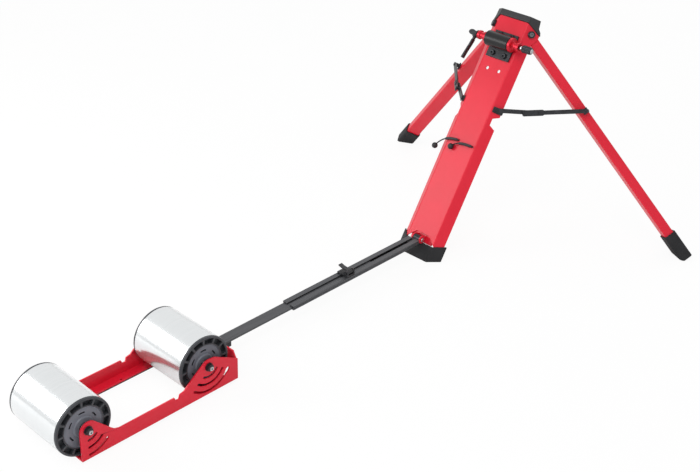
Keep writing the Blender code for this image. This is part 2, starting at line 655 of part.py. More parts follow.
def make_skewer():
    """Quick release: rod with an eye, washer, cam lever with its pin, and nut."""
    x, h, end = -FORK_STANDOFF, FORK_H, FORK_WIDTH / 2
    washer = end + WASHER_START
    cam_y = washer + CAM_WASHER + GAP + CAM_LONG
    nut_y = -end - SKEWER_NUT_START
    shank = rod(SKEWER_R, nut_y - SKEWER_NUT_LENGTH + 5, cam_y, "Y", (x, 0, h), 16)
    eye = rod(CAM_EYE_R, -CAM_SLOT / 2 + GAP, CAM_SLOT / 2 - GAP, "X", (x, cam_y, h), 20)
    shank = cut(join(shank, eye), rod(CAM_PIN_R + GAP, -9, 9, "X", (x, cam_y, h), 16))
    add_piece("skewer_rod", shank, MAST, "mast", "bright_steel")
    add_piece("skewer_cam_washer", ring(SKEWER_R + 0.5, WASHER_R, washer, washer + CAM_WASHER, "Y", (x, 0, h), 24),
              MAST, "mast", "black_plastic")
    axis = MAST @ Matrix.Translation((x, cam_y, h))
    add_body("skewer_lever_axis", axis, "mast")
    lever = rod(1, -CAM_WIDTH / 2, CAM_WIDTH / 2, "X", steps=28)
    lever.transform(Matrix.Diagonal((1, CAM_LONG, CAM_SHORT, 1)))
    arm = prism(LEVER_OUTER + LEVER_INNER, 0.2 - CAM_WIDTH / 2, CAM_WIDTH / 2 - 0.2, "X")
    for width, top, bottom in ((LEVER_NECK, -8, -13), (LEVER_WIDTH, -12, -LEVER_LENGTH - 5)):
        for across in ((-20, -width / 2), (width / 2, 20)):
            arm = cut(arm, block(across, (-20, 20), (bottom, top)))
    lever = join(lever, arm)
    slot = block((-CAM_SLOT / 2, CAM_SLOT / 2), (-20, 20), (-CAM_EYE_R - GAP, 20))
    lever = join(cut(lever, slot), rod(CAM_PIN_R, 0.5 - CAM_WIDTH / 2, CAM_WIDTH / 2 - 0.5, "X", steps=16))
    add_piece("skewer_lever", lever, axis, "skewer_lever_axis", "black_steel")
    axis = MAST @ Matrix.Translation((x, nut_y, h))
    add_body("skewer_nut_axis", axis, "mast")
    r, length = SKEWER_NUT_R, SKEWER_NUT_LENGTH
    profile = [(0, 3 - length), (SKEWER_R + 0.4, 3 - length), (SKEWER_R + 0.4, 0), (NUT_COLLAR_R, 0),
               (NUT_COLLAR_R, -NUT_COLLAR), (r - 1, -NUT_COLLAR), (r, -NUT_COLLAR - 1.5), (r - 0.4, -length + 3),
               (r - 1.2, -length + 1), (4.6, -length + 1), (4.2, -length), (0, -length)]
    add_piece("skewer_nut", turned(profile, "Y", 24), axis, "skewer_nut_axis", "black_steel")


def make_leg(side, name):
    """Tube, foot and pivot bolt of one leg."""
    frame = leg_frame(side)
    pivot = turn_at(flange_frame(side), PIVOT_H, PIVOT_F, 0)
    add_body(f"{name}_leg_axis", frame, "mast")
    near, far = LEG_FACE, LEG_FACE + LEG_DEPTH
    low, high = layer(side, -far, -near)
    outer = [(-LEG_OUTER, low), (LEG_INNER, low), (LEG_INNER, high), (-LEG_OUTER, high)]
    inner = [(-LEG_OUTER + LEG_WALL, low + LEG_WALL), (LEG_INNER - LEG_WALL, low + LEG_WALL),
             (LEG_INNER - LEG_WALL, high - LEG_WALL), (-LEG_OUTER + LEG_WALL, high - LEG_WALL)]
    middle = (LEG_INNER - LEG_OUTER) / 2
    head_r = (LEG_INNER + LEG_OUTER) / 2
    head = arc(0, middle, head_r + 0.2, 90, 270, 10) + [(700, -LEG_OUTER - 5), (700, LEG_INNER + 5)]
    head[0:0] = [(0, LEG_INNER + 5)]
    head.insert(12, (0, -LEG_OUTER - 5))
    tube = prism(rounded([(*p, LEG_CORNER) for p in outer]), -30, LEG_TUBE_END, "X")
    tube = cut(tube, prism(rounded([(*p, LEG_CORNER - LEG_WALL + 0.3) for p in inner], 2), -40, LEG_TUBE_END + 10, "X"))
    tube = boolean(tube, prism(head, low - 5, high + 5), "INTERSECT")
    tube = cut(tube, rod(PIVOT_R + GAP, -60, 60, steps=20))
    add_piece(f"{name}_leg_tube", tube, frame, f"{name}_leg_axis", "red_paint")
    make_foot(side, name, frame, (low, high))
    grip = far + GAP
    profile = [(0, BOLT_HEAD + GAP), (BOLT_HEAD_R - 1.2, BOLT_HEAD + GAP), (BOLT_HEAD_R, BOLT_HEAD - 0.8),
               (BOLT_HEAD_R, GAP), (PIVOT_R, GAP), (PIVOT_R, -grip), (7.0, -grip), (7.0, -grip - 5), (0, -grip - 5)]
    bolt = turned([(r, side * s) for r, s in profile], steps=18)
    add_piece(f"{name}_leg_pivot_bolt", bolt, pivot, "mast", "black_steel")


def make_foot(side, name, frame, span):
    """Moulded foot on the leg's end, cut level with the floor."""
    low, high = span
    skin = FOOT_WALL + GAP
    box = [(-LEG_OUTER - FOOT_LIP, low - skin), (LEG_INNER + skin, low - skin), (LEG_INNER + skin, high + skin),
           (-LEG_OUTER - FOOT_LIP, high + skin)]
    bore = [(-LEG_OUTER - GAP, low - GAP), (LEG_INNER + GAP, low - GAP), (LEG_INNER + GAP, high + GAP),
            (-LEG_OUTER - GAP, high + GAP)]
    foot = prism(rounded([(*p, 5.0) for p in box]), FOOT_COLLAR, FOOT_END, "X")
    foot = cut(foot, floor_below(frame, 0))
    rim = [e for e in foot.edges if all(v.co.x > FOOT_COLLAR + 25 for v in e.verts)
           and len(e.link_faces) == 2 and e.calc_face_angle(0) > radians(35)]
    bmesh.ops.bevel(foot, geom=rim, offset=3.0, offset_type="OFFSET", segments=2, profile=0.5, affect="EDGES",
                    clamp_overlap=True, material=-1)
    foot = cut(foot, prism(rounded([(*p, LEG_CORNER) for p in bore], 2), FOOT_COLLAR - 10, LEG_TUBE_END + GAP, "X"))
    add_piece(f"{name}_foot", foot, frame, f"{name}_leg_axis", "black_rubber", smooth=False)


def make_stay(side, name):
    """Mast bracket, two links, knee knuckle and leg lug of one folding stay."""
    plane = flange_frame(side)
    at_mast = turn_at(plane, *STAY_MAST, LOWER_ANGLE)
    at_knee = turn_at(plane, *STAY_KNEE, UPPER_ANGLE)
    add_body(f"{name}_stay_lower_axis", at_mast, "mast")
    add_body(f"{name}_stay_upper_axis", at_knee, f"{name}_stay_lower_axis")
    hole = STAY_PIN_R + GAP
    half = BRACKET_HEIGHT / 2
    h, f = STAY_MAST
    bracket = prism(rounded([(h - half, 2.5, 2), (h + half, 2.5, 2), (h + half, 24, 2), (h - half, 24, 2)], 2),
                    *layer(side, GAP, GAP + BRACKET_SHEET))
    pin = rod(STAY_PIN_R, *layer(side, GAP + 1, STAY_BASE + STAY_SHEET - 0.2), centre=(h, f, 0), steps=16)
    add_piece(f"{name}_stay_bracket", join(bracket, pin), plane, "mast", "black_steel")
    lower = prism(bar_outline(STAY_LOWER, STAY_WIDTH), *layer(side, STAY_BASE, STAY_BASE + STAY_SHEET))
    lower = cut(lower, rod(hole, -20, 20, steps=16), rod(hole, -20, 20, centre=(STAY_LOWER, 0, 0), steps=16))
    add_piece(f"{name}_stay_lower", lower, at_mast, f"{name}_stay_lower_axis", "black_steel")
    upper = prism(bar_outline(STAY_UPPER, STAY_WIDTH), *layer(side, STAY_TOP, STAY_TOP + STAY_SHEET))
    cap = rod(RIVET_HEAD_R, *layer(side, STAY_TOP + 1, STAY_TOP + STAY_SHEET + RIVET_HEAD),
              centre=(STAY_UPPER, 0, 0), steps=16)
    upper = join(upper, cap)
    half = KNUCKLE_WIDTH / 2
    plate = rounded([(-KNUCKLE_BACK, -half, 3), (KNUCKLE_FRONT, -half, 3), (KNUCKLE_FRONT, half, 3),
                     (-KNUCKLE_BACK, half, 3)], 2)
    top = KNUCKLE_BASE + KNUCKLE_SHEET
    upper = join(upper, prism(plate, *layer(side, KNUCKLE_BASE, top)))
    for place, foot in ((0, STAY_BASE + 0.2), (KNUCKLE_RIVET_FRONT, STAY_TOP + 0.2), (-KNUCKLE_RIVET_BACK, STAY_TOP)):
        upper = join(upper, rod(STAY_PIN_R, *layer(side, foot, top - 0.5), centre=(place, 0, 0), steps=16),
                     rod(RIVET_HEAD_R, *layer(side, top - 1, top + RIVET_HEAD), centre=(place, 0, 0), steps=16))
    add_piece(f"{name}_stay_upper", upper, at_knee, f"{name}_stay_upper_axis", "black_steel")
    leg = leg_frame(side)
    half = LUG_WIDTH / 2
    lug = prism([(STAY_LEG_U - half, -LEG_OUTER), (STAY_LEG_U + half, -LEG_OUTER), (STAY_LEG_U + half, LUG_INNER),
                 (STAY_LEG_U - half, LUG_INNER)], *layer(side, GAP - LEG_FACE, GAP - LEG_FACE + BRACKET_SHEET))
    boss = rod(4.4, *layer(side, GAP - LEG_FACE + 1, STAY_TOP - GAP), centre=(STAY_LEG_U, -STAY_LEG_V, 0), steps=16)
    add_piece(f"{name}_stay_lug", join(lug, boss), leg, f"{name}_leg_axis", "black_steel")


def make_beam():
    """Slotted rail with its hinge tongue and clamp."""
    add_body("beam_axis", BEAM, "mast")
    half = RAIL_WIDTH / 2
    room = BAR_WIDTH / 2 + GAP
    thick = BAR_THICK / 2 + GAP
    slot = RAIL_SLOT / 2
    section = [(-half, RAIL_BOTTOM), (half, RAIL_BOTTOM), (half, -0.6), (half - RAIL_GROOVE, -0.2),
               (half - RAIL_GROOVE, 0.4), (half, 0.8), (half, RAIL_TOP), (slot, RAIL_TOP), (slot, thick), (room, thick),
               (room, -thick), (-room, -thick), (-room, thick), (-slot, thick), (-slot, RAIL_TOP), (-half, RAIL_TOP),
               (-half, 0.8), (RAIL_GROOVE - half, 0.4), (RAIL_GROOVE - half, -0.2), (-half, -0.6)]
    add_piece("beam_rail", prism(section, RAIL_START, RAIL_END, "X"), BEAM, "beam_axis", "grey_aluminium", smooth=False)
    eye = rod(EYE_R, -EYE_HALF, EYE_HALF, "Y", steps=24)
    tongue = block((RAIL_END - TONGUE_IN, 0), (-EYE_HALF, EYE_HALF), (-BAR_THICK / 2, BAR_THICK / 2))
    tongue = cut(join(eye, tongue), rod(BEAM_PIN_R + GAP, -20, 20, "Y", steps=16))
    add_piece("beam_tongue", tongue, BEAM, "beam_axis", "black_steel")
    make_clamp()


def make_clamp():
    """Cam clamp on the rail's top; its stud goes down the slot to the sliding bar."""
    low, high = CLAMP_X - CLAMP_LENGTH / 2, CLAMP_X + CLAMP_LENGTH / 2
    foot = RAIL_TOP + GAP
    y, z = CLAMP_AXIS_Y, CLAMP_AXIS_Z
    base = block((low, high), (-CLAMP_HALF, CLAMP_HALF), (foot, foot + CLAMP_BASE))
    ear = [(y - 5, foot + 1), (y - 5, z)] + arc(y, z, 5.0, 180, 0, 8)[1:-1] + [(y + 5, z), (y + 7.5, foot + 1)]
    for start in (low, high - CLAMP_EAR):
        base = join(base, prism(ear, start, start + CLAMP_EAR, "X"))
    base = join(base, rod(CLAMP_STUD_R, BAR_THICK / 2 + GAP, foot + 1, centre=(CLAMP_X, 0, 0), steps=16))
    base = cut(base, rod(CLAMP_PIN_R + GAP, low - 5, high + 5, "X", (0, y, z), 16))
    add_piece("clamp_base", base, BEAM, "beam_axis", "black_plastic")
    axis = BEAM @ Matrix.Translation((CLAMP_X, y, z))
    add_body("clamp_lever_axis", axis, "beam_axis")
    half = CLAMP_LENGTH / 2 - CLAMP_EAR - GAP
    barrel = rod(CLAMP_BARREL_R, -half, half, "X", steps=24)
    paddle = [(0, 0.5), (0, 4.2), (8, 4.6), (17, 5.4), (23.5, 7.6), (25, 6.4), (24.2, 4.4), (17, 2.2), (8, 1.2)]
    width = CLAMP_PADDLE / 2
    reach = CLAMP_LENGTH / 2 + 1.2
    lever = join(barrel, prism(paddle, -width, width, "X"), rod(CLAMP_PIN_R, -reach, reach, "X", steps=16))
    add_piece("clamp_lever", lever, axis, "clamp_lever_axis", "black_plastic")


def make_bar():
    """Sliding bar with the knuckle under its outer end."""
    add_body("bar_axis", BEAM, "beam_axis")
    half = BAR_WIDTH / 2
    outer = -BAR_LENGTH - BAR_OUT
    outline = rounded([(outer, -half, 4), (BAR_INNER_END, -half, 0), (BAR_INNER_END, half, 0), (outer, half, 4)])
    add_piece("inner_bar", prism(outline, -BAR_THICK / 2, BAR_THICK / 2), BEAM, "bar_axis", "grey_aluminium")
    drop = FRAME_PIN_Z - BAR_END_Z
    top = -BAR_THICK / 2 - GAP
    body = arc(0, drop, BAR_KNUCKLE_R, 100, 270, 8) + [(23, drop - BAR_KNUCKLE_R), (23, top), (2, top)]
    knuckle = moved(prism(body, 0.2 - half, half - 0.2, "Y"), Matrix.Translation((-BAR_LENGTH, 0, 0)))
    knuckle = cut(knuckle, rod(FRAME_PIN_R + GAP, -30, 30, "Y", (-BAR_LENGTH, 0, drop), 16))
    add_piece("bar_knuckle", knuckle, BEAM, "bar_axis", "black_steel")


def plate_outline():
    """Side plate seen from the left, from the front lower corner round to the rear one."""
    before, height, radius = PLATE_REAR_ARCH
    front_arch = arc(*PLATE_FRONT_ARCH, 90, 135, 4)
    rear_arch = arc(PLATE_REAR + before, height, radius, 45, 180, 8)
    front = [(PLATE_FRONT, 0), (PLATE_FRONT, CROSS_CORNER), PLATE_SHOULDER]
    return front + front_arch + list(PLATE_DIP) + rear_arch + [(PLATE_REAR, 0)]


def make_side_plate(side, name):
    low, high = sorted((side * PLATE_OUTER, side * (PLATE_OUTER - SHEET)))
    plate = prism(plate_outline(), low, high, "Y")
    inner = PLATE_OUTER - FOOT_FLANGE
    foot_low, foot_high = sorted((side * inner, side * (PLATE_OUTER - 1)))
    plate = join(plate, block((PLATE_REAR, PLATE_FRONT), (foot_low, foot_high), (0, SHEET)))
    for x, spans in ((0, ((-120, -31), (-131, -30), (-131, -30))), (-DRUM_SPACING, ((-90, -44),) * 3)):
        axle = Matrix.Translation((x, 0, AXLE_HEIGHT))
        for radius, (start, end) in zip(SLOT_RADII, spans):
            plate = cut(plate, moved(prism(arc_slot(radius, SLOT_WIDTH, start, end), low - 5, high + 5, "Y"), axle))
        if x == 0:
            wide = prism(arc_slot(SLOT_RADII[-1], SLOT_EYE, *SLOT_EYE_SPAN, 2), low - 5, high + 5, "Y")
            plate = cut(plate, moved(wide, axle))
        bore = (AXLE_THREAD_R if side == LEFT else AXLE_R) + GAP
        plate = cut(plate, rod(bore, low - 5, high + 5, "Y", (x, 0, AXLE_HEIGHT), 20))
    x, y, radius = CLIP_HOLE
    plate = cut(plate, rod(radius, -SHEET, 2 * SHEET, centre=(x, side * y, 0), steps=12))
    add_piece(f"side_plate_{name}", plate, ROLLER, "roller_frame_axis", "red_paint")


def make_roller_frame():
    add_body("roller_frame_axis", Matrix.Translation((FRAME_PIN_X, 0, FRAME_PIN_Z)), "bar_axis")
    make_side_plate(LEFT, "left")
    make_side_plate(RIGHT, "right")
    inside = PLATE_OUTER - SHEET - GAP
    tab = CROSS_TAB
    front = prism([(-inside, CROSS_WINDOW), (-tab, CROSS_WINDOW), (-tab, 0), (tab, 0), (tab, CROSS_WINDOW),
                   (inside, CROSS_WINDOW), (inside, CROSS_CORNER), (CROSS_SHOULDER, CROSS_TOP),
                   (-CROSS_SHOULDER, CROSS_TOP), (-inside, CROSS_CORNER)], PLATE_FRONT - SHEET, PLATE_FRONT, "X")
    front = join(front, block((PLATE_FRONT - CROSS_LIP, PLATE_FRONT - 1), (-tab, tab), (0, SHEET)), *hinge_ears())
    add_piece("front_cross_plate", front, ROLLER, "roller_frame_axis", "red_paint", smooth=False)
    make_frame_hinge_pin()
    rear_end, front_end = PLATE_REAR + PAD_INSET, PLATE_FRONT - PAD_INSET
    for side, name in ((LEFT, "left"), (RIGHT, "right")):
        low, high = sorted((side * (PLATE_OUTER - PAD_EDGE), side * (PLATE_OUTER - PAD_EDGE - PAD_WIDTH)))
        strip = rounded([(rear_end, low, 4), (front_end, low, 4), (front_end, high, 4), (rear_end, high, 4)])
        add_piece(f"frame_pad_{name}", prism(strip, -PAD_HEIGHT, -GAP), ROLLER, "roller_frame_axis", "black_rubber")


def hinge_ears():
    """Two ears welded on the front cross plate, either side of the bar's knuckle."""
    x, z = FRAME_PIN_X - FRONT_AXLE_X, FRAME_PIN_Z - PAD_HEIGHT
    outline = [(PLATE_FRONT - 1, z - EAR_R)] + arc(x, z, EAR_R, -90, 90, 8) + [(PLATE_FRONT - 1, z + EAR_R)]
    ears = []
    for side in (LEFT, RIGHT):
        low, high = sorted((side * EAR_IN, side * (EAR_IN + EAR_PLATE)))
        ears.append(cut(prism(outline, low, high, "Y"), rod(FRAME_PIN_R + GAP, -30, 30, "Y", (x, 0, z), 16)))
    return ears


def make_frame_hinge_pin():
    frame = Matrix.Translation((FRAME_PIN_X, 0, FRAME_PIN_Z))
    end = EAR_IN + EAR_PLATE + GAP
    profile = [(0, -end - 2), (4.6, -end - 2), (4.6, -end), (FRAME_PIN_R, -end), (FRAME_PIN_R, end), (4.6, end),
               (4.6, end + 2), (0, end + 2)]
    add_piece("frame_hinge_pin", turned(profile, "Y", 16), frame, "roller_frame_axis", "bright_steel")


def cap_shape(side):
    """End cap of a drum: rim over the shell's end, ribbed recess, hub round the bearing."""
    out, rim = DRUM_HALF, DRUM_HALF - CAP_RIM
    plug = DRUM_R - DRUM_WALL - GAP
    plug_in, end = plug - CAP_PLUG_WALL, out - CAP_PLUG
    web_in, web_out = out - CAP_WEB_IN, out - CAP_WEB_OUT
    bore_r, seat = BEARING_R + GAP, out - BEARING - CAP_SEAT
    step, floor_in, floor_out, inside = CAP_RADII
    profile = [(CAP_BORE_R, out - CAP_LIP), (CAP_BORE_R, out), (CAP_HUB_R, out), (CAP_HUB_R + 1, web_out + CAP_HUB_RISE),
               (step, web_out + CAP_STEP_RISE), (floor_in, web_out), (floor_out, web_out), (inside, out),
               (DRUM_R - 1, out), (DRUM_R - 0.2, out - 0.8), (DRUM_R - 0.2, rim), (plug, rim), (plug, end),
               (plug_in, end), (plug_in, web_in), (CAP_HUB_R, web_in), (CAP_HUB_R, seat),
               (bore_r, seat), (bore_r, out - CAP_LIP)]
    return turned([(r, side * s) for r, s in profile], "Y", 32, closed=True)


def make_drum(name, x):
    """Shell, end caps and bearings that turn, and the axle, nut and magnet carrier that stay still."""
    frame = ROLLER @ Matrix.Translation((x, 0, AXLE_HEIGHT))
    body = f"{name}_drum_axis"
    add_body(body, frame, "roller_frame_axis")
    shell_end = DRUM_HALF - CAP_RIM - GAP
    shell = ring(DRUM_R - DRUM_WALL, DRUM_R, -shell_end, shell_end, "Y", steps=48)
    add_piece(f"{name}_drum_shell", shell, frame, body, "white_drum")
    bearing_out = DRUM_HALF - CAP_LIP - GAP
    for side, word in ((LEFT, "left"), (RIGHT, "right")):
        add_piece(f"{name}_drum_cap_{word}", cap_shape(side), frame, body, "grey_plastic")
        span = sorted((side * bearing_out, side * (bearing_out - BEARING)))
        add_piece(f"{name}_bearing_{word}", ring(AXLE_R + GAP, BEARING_R, *span, "Y"), frame, body, "bright_steel")
    inside, outside, thread = PLATE_OUTER - SHEET - GAP, PLATE_OUTER + GAP, PLATE_OUTER + 6.0
    head = [(0, outside + 9.0), (AXLE_TIP_R - 0.8, outside + 9.0), (AXLE_TIP_R, outside + 8.2),
            (AXLE_TIP_R, outside + 6.0), (AXLE_BOLT_R - 0.8, outside + 6.0), (AXLE_BOLT_R, outside + 5.2),
            (AXLE_BOLT_R, outside + 1.5), (AXLE_WASHER_R, outside + 1.5), (AXLE_WASHER_R, outside)]
    axle = [(r, -s) for r, s in head] + [(AXLE_R, -outside), (AXLE_R, -inside), (AXLE_SHOULDER_R, -inside),
            (AXLE_SHOULDER_R, -bearing_out - GAP), (AXLE_R, -bearing_out - GAP), (AXLE_R, inside), (AXLE_THREAD_R, inside),
            (AXLE_THREAD_R, thread - GAP), (0, thread - GAP)]
    add_piece(f"{name}_axle", turned(axle, "Y", 20), frame, "roller_frame_axis", "bright_steel")
    nut = [(0, thread), (AXLE_THREAD_R + GAP, thread), (AXLE_THREAD_R + GAP, outside), (AXLE_WASHER_R, outside),
                      (AXLE_WASHER_R, outside + 1.5), (AXLE_BOLT_R, outside + 1.5), (AXLE_BOLT_R, outside + 8.7),
                      (AXLE_BOLT_R - 1.0, outside + 9.5), (0, outside + 9.5)]
    add_piece(f"{name}_axle_nut", turned(nut, "Y", 20), frame, "roller_frame_axis", "black_steel")
    brake = [(AXLE_R + GAP, -BRAKE_HALF), (12, -BRAKE_HALF), (14, -2), (BRAKE_R - 8, -2), (BRAKE_R - 8, -BRAKE_HALF),
             (BRAKE_R, -BRAKE_HALF), (BRAKE_R, BRAKE_HALF), (BRAKE_R - 8, BRAKE_HALF), (BRAKE_R - 8, 2), (14, 2),
             (12, BRAKE_HALF), (AXLE_R + GAP, BRAKE_HALF)]
    carrier = turned(brake, "Y", 28, closed=True)
    add_piece(f"{name}_magnet_carrier", carrier, frame, "roller_frame_axis", "black_steel")


def smooth_route(points, spacing):
    """Points at an even spacing on a smooth curve through the given ones."""
    knots = [Vector(p) for p in points]
    knots = [2 * knots[0] - knots[1]] + knots + [2 * knots[-1] - knots[-2]]
    fine = []
    for a, b, c, d in zip(knots, knots[1:], knots[2:], knots[3:]):
        for k in range(12):
            t = k / 12
            fine.append(0.5 * (2 * b + (c - a) * t + (2 * a - 5 * b + 4 * c - d) * t * t
                               + (3 * b - a - 3 * c + d) * t ** 3))
    fine.append(knots[-2])
    lengths = [(q - p).length for p, q in zip(fine, fine[1:])]
    count = max(4, round(sum(lengths) / spacing))
    step, travelled, route = sum(lengths) / count, 0.0, [fine[0]]
    for p, q, length in zip(fine, fine[1:], lengths):
        while len(route) < count and travelled + length >= step * len(route):
            route.append(p + (q - p) * (step * len(route) - travelled) / length)
        travelled += length
    return route + [fine[-1]]


def make_cord(name, places, ball_place):
    """A short cord out of its hole in the web, with a ball on its end."""
    route = smooth_route([(-off, y, h) for h, y, off in places], CORD_STEP)
    curve = bpy.data.curves.new(name, "CURVE")
    curve.dimensions = "3D"
    spline = curve.splines.new("POLY")
    spline.points.add(len(route) - 1)
    for point, place in zip(spline.points, route):
        point.co = (*(place * MM), 1)
    curve.bevel_depth = CORD_R * MM
    curve.bevel_resolution = 2
    curve.use_fill_caps = True
    curve.materials.append(material(name, "black_rubber"))
    cord = bpy.data.objects.new(name, curve)
    bpy.context.scene.collection.objects.link(cord)
    cord.parent, above = BODIES["mast"]
    cord.matrix_basis = above.inverted() @ MAST
    h, y, off = ball_place
    centre = Vector((-off, y, h))
    ball = bmesh.new()
    bmesh.ops.create_uvsphere(ball, u_segments=16, v_segments=10, radius=BALL_R)
    towards = (route[-1] - centre).normalized()
    ball.transform(Matrix.Translation(centre) @ towards.to_track_quat("Z", "Y").to_matrix().to_4x4())
    end = Matrix.Translation(route[-1] + towards * 0.2) @ towards.to_track_quat("Z", "Y").to_matrix().to_4x4()
    ball = cut(ball, moved(rod(CORD_R + GAP, -GAP - 0.2, 9, steps=12), end))
    add_piece(f"{name}_ball", ball, MAST, "mast", "black_plastic")
    length = sum((q - p).length for p, q in zip(route, route[1:]))
    print(name, "free length", round(length, 1), "mm")


def make_cords():
    make_cord("upper_cord", UPPER_CORD, UPPER_BALL)
    make_cord("lower_cord", LOWER_CORD, LOWER_BALL)


def main():
    for old in list(bpy.data.objects):
        bpy.data.objects.remove(old)
    make_mast()
    make_beam_hinge()
    make_fork_mount()
    make_skewer()
    for side, name in ((LEFT, "left"), (RIGHT, "right")):
        make_leg(side, name)
        make_stay(side, name)
    make_beam()
    make_bar()
    make_roller_frame()
    make_drum("front", 0)
    make_drum("rear", -DRUM_SPACING)
    make_cords()
    print("stay links", round(STAY_LOWER, 2), round(STAY_UPPER, 2), "mm")


main()
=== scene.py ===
"""Looks of the fork mount roller trainer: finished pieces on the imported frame, finishes, light, camera.

Lengths are written in millimetres and become metres when a mesh is made.
World axes: +X from the rollers towards the mast, +Y to the rider's left, +Z up, floor at z = 0.
A profile lists (radius, place along the axis) and is turned round +Y before its piece is placed.
"""
import bpy
import bmesh
import json
from math import atan2, cos, hypot, pi, radians, sin
from mathutils import Matrix, Vector


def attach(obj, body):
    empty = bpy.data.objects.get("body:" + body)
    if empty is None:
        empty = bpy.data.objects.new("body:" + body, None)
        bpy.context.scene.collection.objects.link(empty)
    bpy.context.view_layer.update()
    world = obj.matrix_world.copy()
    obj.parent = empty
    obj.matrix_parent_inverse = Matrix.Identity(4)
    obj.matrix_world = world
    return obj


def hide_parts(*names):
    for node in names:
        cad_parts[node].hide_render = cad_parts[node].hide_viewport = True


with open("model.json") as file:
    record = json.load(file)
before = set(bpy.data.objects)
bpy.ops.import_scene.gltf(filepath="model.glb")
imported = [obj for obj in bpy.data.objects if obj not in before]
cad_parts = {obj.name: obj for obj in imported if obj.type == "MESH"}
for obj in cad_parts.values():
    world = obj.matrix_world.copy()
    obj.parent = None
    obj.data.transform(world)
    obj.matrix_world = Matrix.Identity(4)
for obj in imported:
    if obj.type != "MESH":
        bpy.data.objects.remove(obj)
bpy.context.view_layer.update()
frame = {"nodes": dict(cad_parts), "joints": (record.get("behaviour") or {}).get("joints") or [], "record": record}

MM = 0.001

# Mast, and the fork mount's axis in front of its web
MAST_LEAN = 31.08
FORK_STANDOFF = 18.5
FORK_HEIGHT = 453.2
MAST = Matrix.Rotation(radians(MAST_LEAN), 4, "Y")
FORK_SEAT = MAST @ Matrix.Translation((-FORK_STANDOFF, 0, FORK_HEIGHT))

# Saddle screws: heights on the mast with their heads' radii, and their distance from its middle
SADDLE_SCREWS = ((429.5, 5.5), (470.0, 4.4))
SADDLE_SCREW_Y = 14.0

# Drums and the frame that carries them
FRONT_AXLE_X = -591.3
DRUM_SPACING = 234.5
AXLE_Z = 58.0
DRUM_R = 50.0
DRUM_HALF = 62.0
PLATE_OUTER = 72.0
CAP_POCKETS = 12
CAP_SLOTS = 6

# Steps round turned pieces: drum skins, knurled or ribbed ones, plain large ones, pivot bolts, plain
# small ones, and the cords' balls
SKIN_STEPS = 160
RIBBED_STEPS = 144
LARGE_STEPS = 96
PIVOT_STEPS = 72
SMALL_STEPS = 48
BALL_STEPS = 40

# Cords: radius, distance between points, the ball, and the sleeve, which starts some points past the hole
# and has narrowed ends
CORD_R = 1.3
CORD_STEP = 2.6
BALL_R = 6.0
SLEEVE_R = 2.8
SLEEVE_START = 2
SLEEVE_END_SHARE = 0.78

# Each cord's route as (height on the mast, place across it, distance in front of its web), the ball's
# place likewise, and the point where the sleeve ends
CORDS = {
    "upper_cord": (((245.5, 8.3, -0.8), (245.5, 8.3, 1.5), (245.5, 8.6, 4.0), (244.8, 13.0, 5.6),
                    (244.0, 19.0, 5.2), (241.8, 29.0, 4.6), (236.5, 39.5, 5.0), (228.5, 47.3, 5.6),
                    (224.0, 50.1, 6.0)), (218.4, 52.9, 6.0), 14),
    "lower_cord": (((242.9, -28.0, -0.8), (242.9, -28.0, 1.5), (242.9, -27.6, 4.0), (242.8, -22.0, 5.0),
                    (242.4, -12.0, 4.6), (241.2, -3.0, 4.6), (239.0, 5.0, 5.2), (235.4, 11.0, 5.8),
                    (233.3, 13.2, 6.0)), (228.6, 17.0, 6.0), 15),
}

# Edges: an angle in degrees below which facets merge, one above which edges are rounded, and one above
# which they are shaded sharp
FLAT_ANGLE = 0.3
ROUND_ANGLE = 28
SHARP_ANGLE = 35

# Solids that keep their shape: each one's edge width and its steps
SOFTENED = {
    "mast_channel": (0.45, 2), "mast_boot": (0.9, 3), "mast_cap": (0.9, 3),
    "beam_hinge_bracket": (0.5, 2), "beam_hinge_pin": (0.3, 2),
    "left_stay_bracket": (0.3, 2), "right_stay_bracket": (0.3, 2),
    "left_leg_tube": (0.3, 2), "right_leg_tube": (0.3, 2), "left_foot": (0.7, 3), "right_foot": (0.7, 3),
    "left_stay_lug": (0.3, 2), "right_stay_lug": (0.3, 2),
    "left_stay_lower": (0.35, 2), "right_stay_lower": (0.35, 2),
    "left_stay_upper": (0.3, 2), "right_stay_upper": (0.3, 2),
    "beam_rail": (0.3, 2), "beam_tongue": (0.5, 2), "clamp_base": (0.5, 2), "clamp_lever": (0.5, 3),
    "inner_bar": (0.35, 2), "bar_knuckle": (0.5, 2),
    "side_plate_left": (0.45, 2), "side_plate_right": (0.45, 2), "front_cross_plate": (0.45, 2),
    "frame_hinge_pin": (0.3, 2), "frame_pad_left": (0.5, 2), "frame_pad_right": (0.5, 2),
}

# Camera: angles in degrees, place in metres, lens and sensor in millimetres
CAMERA_TURN = -47.14
CAMERA_DOWN = 29.39
CAMERA_ROLL = 2.13
CAMERA_PLACE = (-1.58715, -1.29739, 1.19117)
CAMERA_LENS = 60.92
CAMERA_SENSOR = 36.0

# Floor in metres: half its width, and how far it lies below the soles, so that the two don't coincide
FLOOR_HALF = 8.0
FLOOR_SINK = 0.0003

# Light: share of plain white in the floor that the camera sees, the surround's level, and the lamps'
# places, aims, sizes in metres and powers in watts
FLOOR_GLOW = 0.92
WORLD_LEVEL = 0.62
LAMPS = (("key", (-1.7, -0.9, 2.8), (-0.25, 0, 0.15), 1.8, 34),
         ("web_card", (-1.5, 1.15, 0.85), (0.1, 0, 0.2), 0.95, 14.5),
         ("back", (1.8, 0.6, 2.2), (-0.25, 0, 0.15), 1.8, 9))

RECORD = frame["record"]
BODY_OF = {node: body for body, nodes in RECORD["behaviour"]["bodies"].items() for node in nodes}
SLOT_OF = {row["node"]: row["material_slot"] for row in RECORD["subparts"]}


# Finishes

